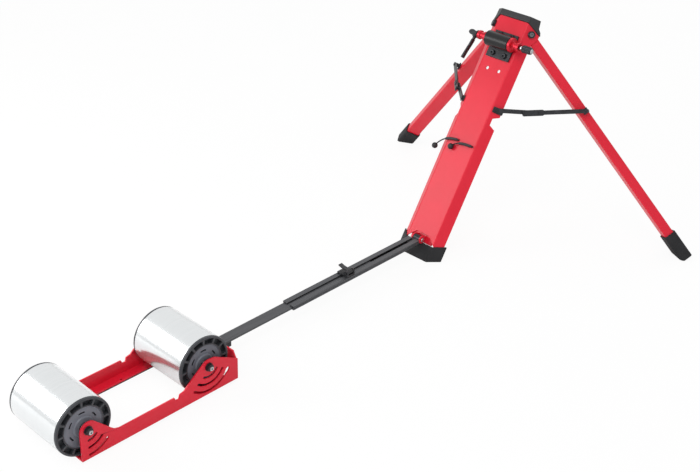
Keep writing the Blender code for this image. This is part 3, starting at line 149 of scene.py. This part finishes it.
def linear(code):
    """An sRGB hex colour as linear red, green, blue and alpha."""
    parts = [int(code[i:i + 2], 16) / 255 for i in (0, 2, 4)]
    return (*[c / 12.92 if c <= 0.04045 else ((c + 0.055) / 1.055) ** 2.4 for c in parts], 1.0)


def add_node(tree, kind, values=None, links=None, **settings):
    """A node with its settings, its sockets' values and its incoming links."""
    made = tree.nodes.new(kind)
    for name, value in settings.items():
        setattr(made, name, value)
    for socket, value in (values or {}).items():
        made.inputs[socket].default_value = value
    for socket, source in (links or {}).items():
        tree.links.new(source, made.inputs[socket])
    return made


def start_material(name):
    """An empty node material with its shader, and the object's own coordinates in metres."""
    made = bpy.data.materials.new(name)
    made.use_nodes = True
    tree = made.node_tree
    tree.nodes.clear()
    shader = add_node(tree, "ShaderNodeBsdfPrincipled")
    add_node(tree, "ShaderNodeOutputMaterial", links={"Surface": shader.outputs["BSDF"]})
    place = add_node(tree, "ShaderNodeTexCoord").outputs["Object"]
    return made, tree, shader, place


def noise(tree, place, scale, detail):
    """Strength of a noise pattern, whose spots are about 1 / scale metres across."""
    made = add_node(tree, "ShaderNodeTexNoise", values={"Scale": scale, "Detail": detail},
                    links={"Vector": place})
    return made.outputs["Fac"]


def stretched(tree, place, scale):
    """Coordinates multiplied by a factor on each axis."""
    made = add_node(tree, "ShaderNodeMapping", values={"Scale": scale}, links={"Vector": place})
    return made.outputs[0]


def two_tone(tree, shader, source, dark, light, low=0.3, high=0.7):
    """Base colour between two hex values by a pattern's strength."""
    ramp = add_node(tree, "ShaderNodeValToRGB", links={"Fac": source})
    ramp.color_ramp.elements[0].position = low
    ramp.color_ramp.elements[0].color = linear(dark)
    ramp.color_ramp.elements[1].position = high
    ramp.color_ramp.elements[1].color = linear(light)
    tree.links.new(ramp.outputs["Color"], shader.inputs["Base Color"])


def rough_between(tree, shader, source, low, high):
    """Roughness between two values by a pattern's strength."""
    spread = add_node(tree, "ShaderNodeMapRange", values={"To Min": low, "To Max": high},
                      links={"Value": source})
    tree.links.new(spread.outputs["Result"], shader.inputs["Roughness"])


def relief(tree, shader, source, strength, depth):
    """Bump of a depth in metres from a pattern."""
    bump = add_node(tree, "ShaderNodeBump", values={"Strength": strength, "Distance": depth},
                    links={"Height": source})
    tree.links.new(bump.outputs["Normal"], shader.inputs["Normal"])


def powder_coat(name, dark, light):
    """Polyester powder coat, baked on steel: glossy with a fine orange peel of about 2 mm."""
    made, tree, shader, place = start_material(name)
    peel = noise(tree, place, 480.0, 2.0)
    drift = noise(tree, place, 14.0, 3.0)
    two_tone(tree, shader, drift, dark, light)
    rough_between(tree, shader, drift, 0.28, 0.36)
    relief(tree, shader, peel, 0.2, 0.00006)
    shader.inputs["Specular IOR Level"].default_value = 0.3
    return made


def moulded_abs(name, dark, light):
    """Injection moulded ABS with a spark eroded grain of about 0.8 mm: an even, soft sheen."""
    made, tree, shader, place = start_material(name)
    grain = noise(tree, place, 1200.0, 3.0)
    drift = noise(tree, place, 25.0, 2.0)
    two_tone(tree, shader, drift, dark, light)
    rough_between(tree, shader, grain, 0.36, 0.52)
    relief(tree, shader, grain, 0.35, 0.00006)
    shader.inputs["Specular IOR Level"].default_value = 0.4
    return made


def rubber(name, dark, light):
    """Moulded synthetic rubber: matt, with a soft bloom that lightens it in patches."""
    made, tree, shader, place = start_material(name)
    bloom = noise(tree, place, 40.0, 4.0)
    grain = noise(tree, place, 900.0, 2.0)
    two_tone(tree, shader, bloom, dark, light, 0.35, 0.75)
    rough_between(tree, shader, bloom, 0.7, 0.88)
    relief(tree, shader, grain, 0.4, 0.0001)
    shader.inputs["Specular IOR Level"].default_value = 0.35
    return made


def braided_sleeve(name, dark, light):
    """Woven polyester sleeve on the cords: crossing bands about 2 mm apart, coarse enough to show."""
    made, tree, shader, place = start_material(name)
    one, two = [add_node(tree, "ShaderNodeTexWave", values={"Scale": 160.0, "Distortion": 1.0},
                         links={"Vector": place}, bands_direction=axis).outputs["Fac"] for axis in "ZY"]
    weave = add_node(tree, "ShaderNodeMath", operation="MULTIPLY", links={0: one, 1: two}).outputs[0]
    two_tone(tree, shader, weave, dark, light, 0.1, 0.8)
    rough_between(tree, shader, weave, 0.55, 0.75)
    relief(tree, shader, weave, 0.6, 0.0002)
    return made


def plated_steel(name, dark, light):
    """Dark plated steel: thin plating that keeps some of the metal's glint, worn a little in patches."""
    made, tree, shader, place = start_material(name)
    wear = noise(tree, place, 90.0, 5.0)
    two_tone(tree, shader, wear, dark, light, 0.35, 0.8)
    rough_between(tree, shader, wear, 0.28, 0.45)
    relief(tree, shader, wear, 0.15, 0.00005)
    shader.inputs["Metallic"].default_value = 0.55
    return made


def extruded_aluminium(name, dark, light):
    """Anodised aluminium drawn through a die: fine lines along X, about 1 mm apart across it."""
    made, tree, shader, place = start_material(name)
    lines = noise(tree, stretched(tree, place, (3.0, 900.0, 900.0)), 1.0, 3.0)
    two_tone(tree, shader, lines, dark, light)
    rough_between(tree, shader, lines, 0.32, 0.48)
    relief(tree, shader, lines, 0.2, 0.00004)
    shader.inputs["Metallic"].default_value = 0.6
    return made


def drum_skin(name, dark, light):
    """Turned, polished, clear anodised aluminium: half mirror like, with faint rings 0.7 mm apart."""
    made, tree, shader, place = start_material(name)
    rings = noise(tree, stretched(tree, place, (2.0, 1400.0, 2.0)), 1.0, 2.0)
    two_tone(tree, shader, rings, dark, light)
    rough_between(tree, shader, rings, 0.16, 0.22)
    relief(tree, shader, rings, 0.03, 0.000003)
    shader.inputs["Metallic"].default_value = 0.85
    return made


def bright_zinc(name, dark, light):
    """Clear zinc plated steel, turned: bright, with faint tool marks of about 3 mm."""
    made, tree, shader, place = start_material(name)
    marks = noise(tree, place, 350.0, 4.0)
    two_tone(tree, shader, marks, dark, light)
    rough_between(tree, shader, marks, 0.18, 0.34)
    relief(tree, shader, marks, 0.1, 0.00003)
    shader.inputs["Metallic"].default_value = 1.0
    return made


def red_anodised(name, dark, light):
    """Turned aluminium, dyed red in anodising: a deep metallic red with marks of about 2 mm."""
    made, tree, shader, place = start_material(name)
    marks = noise(tree, place, 500.0, 2.0)
    two_tone(tree, shader, marks, dark, light)
    rough_between(tree, shader, marks, 0.22, 0.36)
    relief(tree, shader, marks, 0.12, 0.00003)
    shader.inputs["Metallic"].default_value = 0.7
    return made


FINISHES = {
    "red_paint": powder_coat("red_powder_coat", "D41A30", "DE2138"),
    "black_plastic": moulded_abs("black_moulded_abs", "19191B", "252528"),
    "grey_plastic": moulded_abs("dark_grey_moulded_abs", "323438", "3C3E43"),
    "black_rubber": rubber("black_moulded_rubber", "1A1A1C", "29292B"),
    "black_steel": plated_steel("black_plated_steel", "232427", "3A3B3F"),
    "grey_aluminium": extruded_aluminium("dark_grey_anodised_extrusion", "434447", "56575A"),
    "white_drum": drum_skin("clear_anodised_turned_aluminium", "DADDDE", "E2E4E5"),
    "bright_steel": bright_zinc("clear_zinc_plated_steel", "A9ACAE", "D2D4D5"),
    "red_aluminium": red_anodised("red_anodised_turned_aluminium", "B5182A", "D02A3B"),
}
GLOSS_BLACK = powder_coat("black_powder_coat", "101011", "1B1B1C")
GREY_SCREW = plated_steel("grey_phosphated_steel", "5E6064", "7C7E82")
SLEEVE = braided_sleeve("black_woven_polyester", "1C1B1E", "3A383D")
CAP_DISC = moulded_abs("grey_moulded_abs_disc", "62656E", "70737C")


# Making and placing pieces

def add_piece(name, shape, body, finish, nodes=(), angle=SHARP_ANGLE, extra=None, instead=None):
    """A finished piece on its body, standing for some of the frame's nodes.

    extra is a second material for some of its faces, and instead replaces its finish's own material.
    """
    bmesh.ops.recalc_face_normals(shape, faces=shape.faces)
    mesh = bpy.data.meshes.new(name)
    shape.to_mesh(mesh)
    shape.free()
    mesh.materials.append(instead or FINISHES[finish])
    if extra:
        mesh.materials.append(extra)
    mesh.shade_smooth()
    mesh.set_sharp_from_angle(angle=radians(angle))
    piece = bpy.data.objects.new(name, mesh)
    bpy.context.scene.collection.objects.link(piece)
    even = piece.modifiers.new("even_shading", "WEIGHTED_NORMAL")
    even.keep_sharp = True
    even.weight = 90
    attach(piece, body)
    if nodes:
        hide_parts(*nodes)
    return piece


def placed(shape, matrix):
    """A shape in millimetres put in its place, in metres."""
    shape.transform(matrix)
    shape.transform(Matrix.Scale(MM, 4))
    return shape


def together(shapes):
    """Several closed shapes as one mesh."""
    whole = shapes[0]
    for other in shapes[1:]:
        mesh = bpy.data.meshes.new("part")
        other.to_mesh(mesh)
        other.free()
        whole.from_mesh(mesh)
        bpy.data.meshes.remove(mesh)
    return whole


def turned(profile, steps, closed=False):
    """A profile turned round the Y axis."""
    shape = bmesh.new()
    verts = [shape.verts.new((r, s, 0)) for r, s in profile]
    for a, b in zip(verts, verts[1:]):
        shape.edges.new((a, b))
    if closed:
        shape.edges.new((verts[-1], verts[0]))
    bmesh.ops.spin(shape, geom=shape.verts[:] + shape.edges[:], axis=(0, 1, 0), cent=(0, 0, 0),
                   angle=2 * pi, steps=steps, use_merge=True)
    bmesh.ops.remove_doubles(shape, verts=shape.verts, dist=1e-4)
    bmesh.ops.recalc_face_normals(shape, faces=shape.faces)
    return shape


def add_turned(name, profile, steps, seat, body, finish, nodes, instead=None):
    """A ring shaped piece from a closed profile, with its axis on its seat's Y axis."""
    shape = placed(turned(profile, steps, closed=True), seat)
    add_piece(name, shape, body, finish, nodes, instead=instead)


def round_law(shape, law):
    """Moves each vertex of a turned shape to the radius that a law of radius, place and angle gives."""
    for vert in shape.verts:
        r = hypot(vert.co.x, vert.co.z)
        if r > 1e-6:
            factor = law(r, vert.co.y, atan2(vert.co.z, vert.co.x)) / r
            vert.co.x *= factor
            vert.co.z *= factor
    return shape


def hexagon(r, angle):
    """Radius of a hexagon whose corners lie at r."""
    return r * cos(pi / 6) / cos((angle % (pi / 3)) - pi / 6)


def knurled(r, angle, depth, count):
    """Radius of a round grip with a number of waves, cut in from r."""
    return r - depth + depth * cos(count * angle)


def paint(shape, chosen):
    """Gives the second material to a turned shape's faces, chosen by their middle's radius and place."""
    for face in shape.faces:
        c = face.calc_center_median()
        if chosen(hypot(c.x, c.z), c.y):
            face.material_index = 1


def add_softened(node, width, segments=2):
    """A copy of a frame's node with its facets merged and its edges rounded."""
    shape = bmesh.new()
    shape.from_mesh(frame["nodes"][node].data)
    bmesh.ops.remove_doubles(shape, verts=shape.verts, dist=2e-6)
    bmesh.ops.dissolve_limit(shape, angle_limit=radians(FLAT_ANGLE), verts=shape.verts, edges=shape.edges)
    rim = [edge for edge in shape.edges
           if len(edge.link_faces) == 2 and edge.calc_face_angle(0) > radians(ROUND_ANGLE)]
    bmesh.ops.bevel(shape, geom=rim, offset=width * MM, offset_type="OFFSET", segments=segments,
                    profile=0.5, affect="EDGES", clamp_overlap=False, material=-1)
    bmesh.ops.triangulate(shape, faces=[face for face in shape.faces if len(face.verts) > 4])
    add_piece(f"{node}_finished", shape, BODY_OF[node], SLOT_OF[node], [node])


# Camera, then the cords

def make_camera():
    """The photograph's view, with the centre of the view at its middle; the 700 by 472 image size is not set here.
    """
    turn, down, roll = radians(CAMERA_TURN), radians(CAMERA_DOWN), radians(CAMERA_ROLL)
    ahead = Vector((-sin(turn) * cos(down), cos(turn) * cos(down), -sin(down)))
    right = Vector((cos(turn), sin(turn), 0))
    up = right.cross(ahead)
    across = cos(roll) * right + sin(roll) * up
    upward = -sin(roll) * right + cos(roll) * up
    camera = bpy.data.objects.new("camera", bpy.data.cameras.new("camera"))
    bpy.context.scene.collection.objects.link(camera)
    matrix = Matrix((across, upward, -ahead)).transposed().to_4x4()
    matrix.translation = CAMERA_PLACE
    camera.matrix_world = matrix
    camera.data.sensor_width = CAMERA_SENSOR
    camera.data.lens = CAMERA_LENS
    camera.data.clip_end = 50.0
    camera.data.dof.use_dof = False
    bpy.context.scene.camera = camera


def on_web(h, y, off):
    """A point at a height on the upright mast, across it, and at a distance in front of its web."""
    return Vector((-off, y, h))


def smooth_route(points, spacing):
    """Points at an even spacing on a smooth curve through the given ones."""
    knots = [2 * points[0] - points[1]] + points + [2 * points[-1] - points[-2]]
    parts, fine = 12, []
    for a, b, c, d in zip(knots, knots[1:], knots[2:], knots[3:]):
        for k in range(parts):
            t = k / parts
            fine.append(0.5 * (2 * b + (c - a) * t + (2 * a - 5 * b + 4 * c - d) * t * t
                               + (3 * b - a - 3 * c + d) * t ** 3))
    fine.append(knots[-2])
    lengths = [(q - p).length for p, q in zip(fine, fine[1:])]
    count = max(4, round(sum(lengths) / spacing))
    step, travelled, route = sum(lengths) / count, 0.0, [fine[0]]
    for p, q, length in zip(fine, fine[1:], lengths):
        while len(route) < count and travelled + length >= step * len(route):
            route.append(p + (q - p) * (step * len(route) - travelled) / length)
        travelled += length
    return route + [fine[-1]]


def round_line(name, route, radius, resolution):
    """A curve with closed ends along a route."""
    curve = bpy.data.curves.new(name, "CURVE")
    curve.dimensions = "3D"
    curve.bevel_depth = radius * MM
    curve.bevel_resolution = resolution
    curve.use_fill_caps = True
    spline = curve.splines.new("POLY")
    spline.points.add(len(route) - 1)
    for point, spot in zip(spline.points, route):
        point.co = (*(spot * MM), 1)
    return curve


def make_cord_sleeve(name, covered):
    """A thicker woven sleeve over the part of the cord that it covers."""
    curve = round_line(f"{name}_sleeve_path", covered, SLEEVE_R, 5)
    for end in (0, -1):
        curve.splines[0].points[end].radius = SLEEVE_END_SHARE
    path = bpy.data.objects.new(f"{name}_sleeve_path", curve)
    mesh = bpy.data.meshes.new_from_object(path)
    bpy.data.objects.remove(path)
    bpy.data.curves.remove(curve)
    shape = bmesh.new()
    shape.from_mesh(mesh)
    bpy.data.meshes.remove(mesh)
    bmesh.ops.remove_doubles(shape, verts=shape.verts, dist=1e-6)
    return add_piece(f"{name}_sleeve", shape, "mast", "black_rubber", angle=50, instead=SLEEVE)


def make_cord_ball(name, centre, cord_end):
    """The ball on a cord's end, with a small mouth where the cord goes in."""
    towards = (cord_end - centre).normalized()
    seat = Matrix.Translation(centre) @ towards.to_track_quat("Y", "Z").to_matrix().to_4x4()
    profile = [(BALL_R * sin(radians(a)), -BALL_R * cos(radians(a))) for a in range(0, 160, 8)]
    profile += [(2.1, BALL_R - 0.55), (1.7, BALL_R - 0.9), (1.6, BALL_R - 2.0), (0, BALL_R - 2.0)]
    ball = placed(turned(profile, BALL_STEPS), seat)
    return add_piece(f"{name}_ball_finished", ball, "mast", "black_plastic", [f"{name}_ball"])


def make_cord(name, places, ball_place, sleeve_end):
    """A short cord out of its hole in the web, with a sleeve on it and a ball on its end."""
    route = [MAST @ p for p in smooth_route([on_web(*spot) for spot in places], CORD_STEP)]
    curve = round_line(f"{name}_finished", route, CORD_R, 4)
    curve.materials.append(FINISHES["black_rubber"])
    cord = bpy.data.objects.new(f"{name}_finished", curve)
    bpy.context.scene.collection.objects.link(cord)
    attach(cord, "mast")
    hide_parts(name)
    ball = make_cord_ball(name, MAST @ on_web(*ball_place), route[-1])
    sleeve = make_cord_sleeve(name, route[SLEEVE_START:sleeve_end])


# Drums

def pressed(shape, keep, depth):
    """Presses the chosen faces of a turned cap inwards along Y, with walls round them."""
    faces = [face for face in shape.faces if keep(face)]
    region = bmesh.ops.extrude_face_region(shape, geom=faces)["geom"]
    bmesh.ops.delete(shape, geom=faces, context="FACES_ONLY")
    moved = [part for part in region if isinstance(part, bmesh.types.BMVert)]
    bmesh.ops.translate(shape, verts=moved, vec=(0, -depth, 0))


def cap_mesh():
    """End cap: rim, pockets between ribs, a lighter disc with arc slots, and the bearing's hub."""
    out = DRUM_HALF
    ribs, disc, rim = out - 0.6, out - 2.6, out - 4.0
    profile = [(8.2, out - 1.5), (8.2, out - 0.3), (8.6, out), (16.4, out), (17.0, out - 0.6),
               (18.0, out - 2.4), (23.6, disc), (26.2, disc), (33.4, disc), (34.6, out - 1.0),
               (36.6, ribs), (45.6, ribs), (46.4, out), (48.6, out), (49.5, out - 0.6),
               (49.8, out - 1.6), (49.8, rim), (47.2, rim), (47.2, out - 16), (44.7, out - 16),
               (44.7, out - 9.5), (17.0, out - 9.5), (17.0, out - 12.0), (13.3, out - 12.0),
               (13.3, out - 1.5)]
    shape = turned(profile, RIBBED_STEPS, closed=True)

    def in_ring(face, low, high, level):
        c = face.calc_center_median()
        return low < hypot(c.x, c.z) < high and abs(c.y - level) < 0.3 and abs(face.normal.y) > 0.9

    def share(face, count):
        c = face.calc_center_median()
        part = 2 * pi / count
        return (atan2(c.z, c.x) % part) / part

    pressed(shape, lambda f: in_ring(f, 37, 45.4, ribs) and 0.08 < share(f, CAP_POCKETS) < 0.92, 7.5)
    pressed(shape, lambda f: in_ring(f, 24, 26, disc) and 0.3 < share(f, CAP_SLOTS) < 0.72, 3.0)
    paint(shape, lambda r, s: r < 34.2 and s > out - 3.2)
    return shape


def make_drum(name, x):
    """Shell with softened ends, two caps with bearings, the axle, and the still carrier inside."""
    centre = Matrix.Translation((x, 0, AXLE_Z))
    body = f"{name}_drum"
    end, bore = DRUM_HALF - 4.3, DRUM_R - 2.5
    shell = [(bore, -end), (DRUM_R - 0.5, -end), (DRUM_R - 0.1, -end + 0.2), (DRUM_R, -end + 0.7),
             (DRUM_R, 0), (DRUM_R, end - 0.7), (DRUM_R - 0.1, end - 0.2), (DRUM_R - 0.5, end),
             (bore, end)]
    bearing = [(5.3, 52.5), (12.6, 52.5), (13.0, 52.9), (13.0, 60.1), (12.6, 60.5), (10.9, 60.5),
               (10.7, 60.1), (7.4, 60.1), (7.2, 60.5), (5.3, 60.5)]
    add_turned(f"{name}_drum_skin", shell, SKIN_STEPS, centre, body, "white_drum",
               [f"{name}_drum_shell"])
    for side, flip in (("left", Matrix()), ("right", Matrix.Rotation(pi, 4, "X"))):
        cap, ring = f"{name}_drum_cap_{side}", f"{name}_bearing_{side}"
        add_piece(f"{cap}_finished", placed(cap_mesh(), centre @ flip), body, "grey_plastic", [cap],
                  extra=CAP_DISC)
        add_turned(f"{ring}_finished", bearing, SMALL_STEPS, centre @ flip, body, "bright_steel", [ring])
    make_axle(name, centre)
    add_softened(f"{name}_magnet_carrier", 0.4)


def make_axle(name, centre):
    """Through bolt with a black knurled collar and a bright tip on the right, and its nut on the left."""
    out = PLATE_OUTER + 0.3
    bolt_profile = [(0, -out - 5.5), (1.7, -out - 5.5), (1.7, -out - 8.8), (2.0, -out - 9.0),
                    (3.1, -out - 9.0), (3.7, -out - 8.5), (3.8, -out - 8.0), (3.8, -out - 6.0),
                    (5.5, -out - 6.0), (6.2, -out - 5.5), (6.4, -out - 4.9), (6.4, -out - 1.9),
                    (6.1, -out - 1.5), (7.3, -out - 1.5), (7.6, -out - 1.2), (7.6, -out), (5.0, -out),
                    (5.0, -68.7), (7.5, -68.7), (7.5, -60.8), (5.0, -60.8), (5.0, 68.7), (3.5, 68.7),
                    (3.5, 77.4), (3.2, 77.7), (0, 77.7)]
    nut_profile = [(0, 78.0), (3.8, 78.0), (3.8, out), (7.3, out), (7.6, out + 0.3), (7.6, out + 1.2),
                   (7.3, out + 1.5), (6.2, out + 1.5), (6.4, out + 1.7), (6.4, out + 6.6),
                   (5.9, out + 7.2), (4.6, out + 8.6), (2.6, out + 9.3), (0, out + 9.5)]

    def bolt_law(r, s, angle):
        if r < 2.1 and s < -out - 5:
            return hexagon(r, angle)
        if 6.3 < r < 6.5 and -out - 5.2 < s < -out - 1.8:
            return knurled(r, angle, depth=0.2, count=24)
        return r

    def nut_law(r, s, angle):
        return hexagon(r, angle) if r > 6.1 and out + 1.55 < s < out + 6.9 else r

    bolt = round_law(turned(bolt_profile, RIBBED_STEPS), bolt_law)
    paint(bolt, lambda r, s: s < -out + 0.01 and r > 3.9)
    add_piece(f"{name}_axle_finished", placed(bolt, centre), "roller_frame", "bright_steel",
              [f"{name}_axle"], extra=FINISHES["black_steel"])
    nut = round_law(turned(nut_profile, LARGE_STEPS), nut_law)
    add_piece(f"{name}_axle_nut_finished", placed(nut, centre), "roller_frame", "black_steel",
              [f"{name}_axle_nut"])


# Fork mount

def saddle_screw(h, y, r):
    """Socket head screw through the saddle, its head's radius r, at a height and across the mast."""
    profile = [(0, -5.2), (2.2, -5.2), (2.2, -7.2), (2.5, -7.5), (r - 0.8, -7.5), (r - 0.1, -6.9),
               (r, -6.3), (r, -4.1), (3.0, -4.1), (3.0, 3.6), (0, 3.6)]

    def law(radius, s, angle):
        return hexagon(radius, angle) if radius < 2.4 and s < -5 else radius

    screw = round_law(turned(profile, SMALL_STEPS), law)
    screw.transform(MAST @ Matrix.Translation((0, y, h)) @ Matrix.Rotation(-pi / 2, 4, "Z"))
    return screw


def make_fork_mount():
    """Clamp body, two spool shaped caps, and the saddle with its four screws."""
    half = 27.5
    body = [(3.0, -half), (13.8, -half), (14.7, -half + 0.5), (15.0, -half + 1.3), (15.0, half - 1.3),
            (14.7, half - 0.5), (13.8, half), (3.0, half)]
    add_turned("fork_body_finished", body, LARGE_STEPS, FORK_SEAT, "mast", "black_plastic",
               ["fork_body"], instead=GLOSS_BLACK)
    left = [(3.0, 27.8), (9.0, 27.8), (9.4, 28.3), (9.4, 35.2), (9.0, 35.9), (6.9, 37.6), (6.6, 38.2),
            (6.6, 42.2), (6.9, 42.8), (8.5, 43.8), (9.0, 44.4), (9.0, 48.9), (8.7, 49.6), (8.1, 50.0),
            (3.0, 50.0)]
    right = [(3.0, -27.8), (13.6, -27.8), (14.3, -28.5), (14.3, -32.6), (13.9, -33.3), (12.9, -33.9),
             (8.9, -34.6), (8.4, -35.0), (8.4, -36.6), (6.9, -37.7), (6.6, -38.2), (6.6, -42.2),
             (6.9, -42.8), (8.5, -43.8), (9.0, -44.4), (9.0, -48.9), (8.7, -49.6), (8.1, -50.0),
             (6.3, -50.0), (6.0, -49.7), (6.0, -47.0), (3.0, -47.0)]
    for profile, node in ((left, "fork_cap_left"), (right, "fork_cap_right")):
        add_turned(f"{node}_finished", profile, LARGE_STEPS, FORK_SEAT, "mast", "red_aluminium", [node])
    add_softened("fork_saddle", 0.8, 3)
    screws = [saddle_screw(h, y, r) for h, r in SADDLE_SCREWS for y in (-SADDLE_SCREW_Y, SADDLE_SCREW_Y)]
    add_piece("saddle_screws", placed(together(screws), Matrix()), "mast", "black_steel")


def make_skewer():
    """Quick release with its cam lever on the left and its knurled nut on the right."""
    washer = [(3.0, 52.3), (7.0, 52.3), (7.5, 52.8), (7.5, 54.0), (7.1, 54.5), (6.4, 54.7), (3.0, 54.7)]
    add_turned("skewer_washer_finished", washer, SMALL_STEPS, FORK_SEAT, "mast", "black_plastic",
               ["skewer_cam_washer"])
    add_softened("skewer_rod", 0.25)
    add_softened("skewer_lever", 0.5, 3)
    profile = [(0, -75.5), (2.9, -75.5), (2.9, -52.3), (3.6, -52.3), (3.9, -52.6), (3.9, -57.0),
               (6.3, -57.0), (6.7, -57.3), (7.5, -58.5), (7.6, -59.4), (7.4, -67.0), (7.2, -75.3),
               (6.6, -76.9), (6.2, -77.5), (4.5, -77.5), (4.5, -77.8), (4.4, -78.2), (4.1, -78.5),
               (0, -78.5)]

    def law(r, s, angle):
        return knurled(r, angle, depth=0.3, count=18) if r > 7.1 and s < -59 else r

    nut = round_law(turned(profile, RIBBED_STEPS), law)
    paint(nut, lambda r, s: r < 4.6 and (s > -57.0 or s < -77.5))
    add_piece("skewer_nut_finished", placed(nut, FORK_SEAT), "skewer_nut", "black_steel", ["skewer_nut"],
              extra=FINISHES["bright_steel"])


def make_pivot_bolt(side, outward):
    """Leg pivot: a dark collar round a grey socket screw outside, and a hexagon nut inside the ear."""
    joint = next(row for row in frame["joints"] if row["name"] == f"{side}_leg_fold")
    spot, away = Vector(joint["pos_m"]), Vector(joint["axis"]) * outward
    node = f"{side}_leg_pivot_bolt"
    inner_end = min((vert.co - spot).dot(away) for vert in frame["nodes"][node].data.vertices)
    grip = -inner_end / MM - 5.0
    profile = [(0, 4.0), (2.1, 4.0), (2.1, 5.9), (2.4, 6.2), (3.9, 6.2), (4.3, 5.8), (4.4, 5.1),
               (4.8, 5.1), (4.9, 5.9), (5.3, 6.3), (5.9, 6.3), (6.6, 5.8), (7.0, 5.0), (7.0, 0.3),
               (4.0, 0.3), (4.0, -grip), (6.6, -grip), (7.0, -grip - 0.4), (7.0, -grip - 4.6),
               (6.6, -grip - 5.0), (0, -grip - 5.0)]

    def law(r, s, angle):
        return hexagon(r, angle) if r < 2.5 and s > 3.9 or r > 6.5 and s < 0 else r

    bolt = round_law(turned(profile, PIVOT_STEPS), law)
    paint(bolt, lambda r, s: s > 3.9 and r < 4.5)
    seat = Matrix.Translation(spot / MM) @ away.to_track_quat("Y", "Z").to_matrix().to_4x4()
    add_piece(f"{node}_finished", placed(bolt, seat), "mast", "black_steel", [node], extra=GREY_SCREW)


# Studio

def make_floor():
    """White paper sweep: where the camera sees it, it glows, so that shadows on it stay faint."""
    floor = bmesh.new()
    bmesh.ops.create_grid(floor, x_segments=1, y_segments=1, size=FLOOR_HALF)
    mesh = bpy.data.meshes.new("floor")
    floor.to_mesh(mesh)
    floor.free()
    paper, tree, shader, place = start_material("white_paper_sweep")
    two_tone(tree, shader, noise(tree, place, 3.0, 2.0), "F4F4F4", "F8F8F8")
    shader.inputs["Roughness"].default_value = 0.9
    surface = shader.outputs["BSDF"].links[0].to_socket
    seen = add_node(tree, "ShaderNodeLightPath").outputs["Is Camera Ray"]
    share = add_node(tree, "ShaderNodeMath", values={1: FLOOR_GLOW}, links={0: seen},
                     operation="MULTIPLY")
    glow = add_node(tree, "ShaderNodeEmission", values={"Color": (1, 1, 1, 1), "Strength": 1.0})
    mix = add_node(tree, "ShaderNodeMixShader",
                   links={0: share.outputs[0], 1: shader.outputs["BSDF"], 2: glow.outputs["Emission"]})
    tree.links.new(mix.outputs[0], surface)
    mesh.materials.append(paper)
    ground = bpy.data.objects.new("floor", mesh)
    bpy.context.scene.collection.objects.link(ground)
    ground.location = (0, 0, -FLOOR_SINK)


def make_world():
    """Even white surround, seen and mirrored as plain white."""
    world = bpy.data.worlds.new("studio")
    world.use_nodes = True
    tree = world.node_tree
    path = add_node(tree, "ShaderNodeLightPath")
    direct = add_node(tree, "ShaderNodeMath", operation="MAXIMUM",
                      links={0: path.outputs["Is Camera Ray"], 1: path.outputs["Is Glossy Ray"]})
    level = add_node(tree, "ShaderNodeMapRange", values={"To Min": WORLD_LEVEL, "To Max": 1.0},
                     links={"Value": direct.outputs[0]})
    sky = tree.nodes["Background"]
    sky.inputs["Color"].default_value = (1, 1, 1, 1)
    tree.links.new(level.outputs["Result"], sky.inputs["Strength"])
    bpy.context.scene.world = world


def make_stage():
    """Floor, surround, a large key light, a card of light mirrored in the mast's web, a back light."""
    make_floor()
    make_world()
    for name, spot, aim, size, power in LAMPS:
        lamp = bpy.data.lights.new(name, "AREA")
        lamp.size = size
        lamp.energy = power
        light = bpy.data.objects.new(name, lamp)
        bpy.context.scene.collection.objects.link(light)
        light.location = spot
        light.rotation_euler = (Vector(aim) - Vector(spot)).to_track_quat("-Z", "Y").to_euler()
    bpy.context.scene.view_settings.view_transform = "Standard"


def main():
    make_camera()
    for name, (places, ball_place, sleeve_end) in CORDS.items():
        make_cord(name, places, ball_place, sleeve_end)
    make_drum("front", FRONT_AXLE_X)
    make_drum("rear", FRONT_AXLE_X - DRUM_SPACING)
    make_fork_mount()
    make_skewer()
    make_pivot_bolt("left", 1)
    make_pivot_bolt("right", -1)
    for node, (width, segments) in SOFTENED.items():
        add_softened(node, width, segments)
    make_stage()


main()
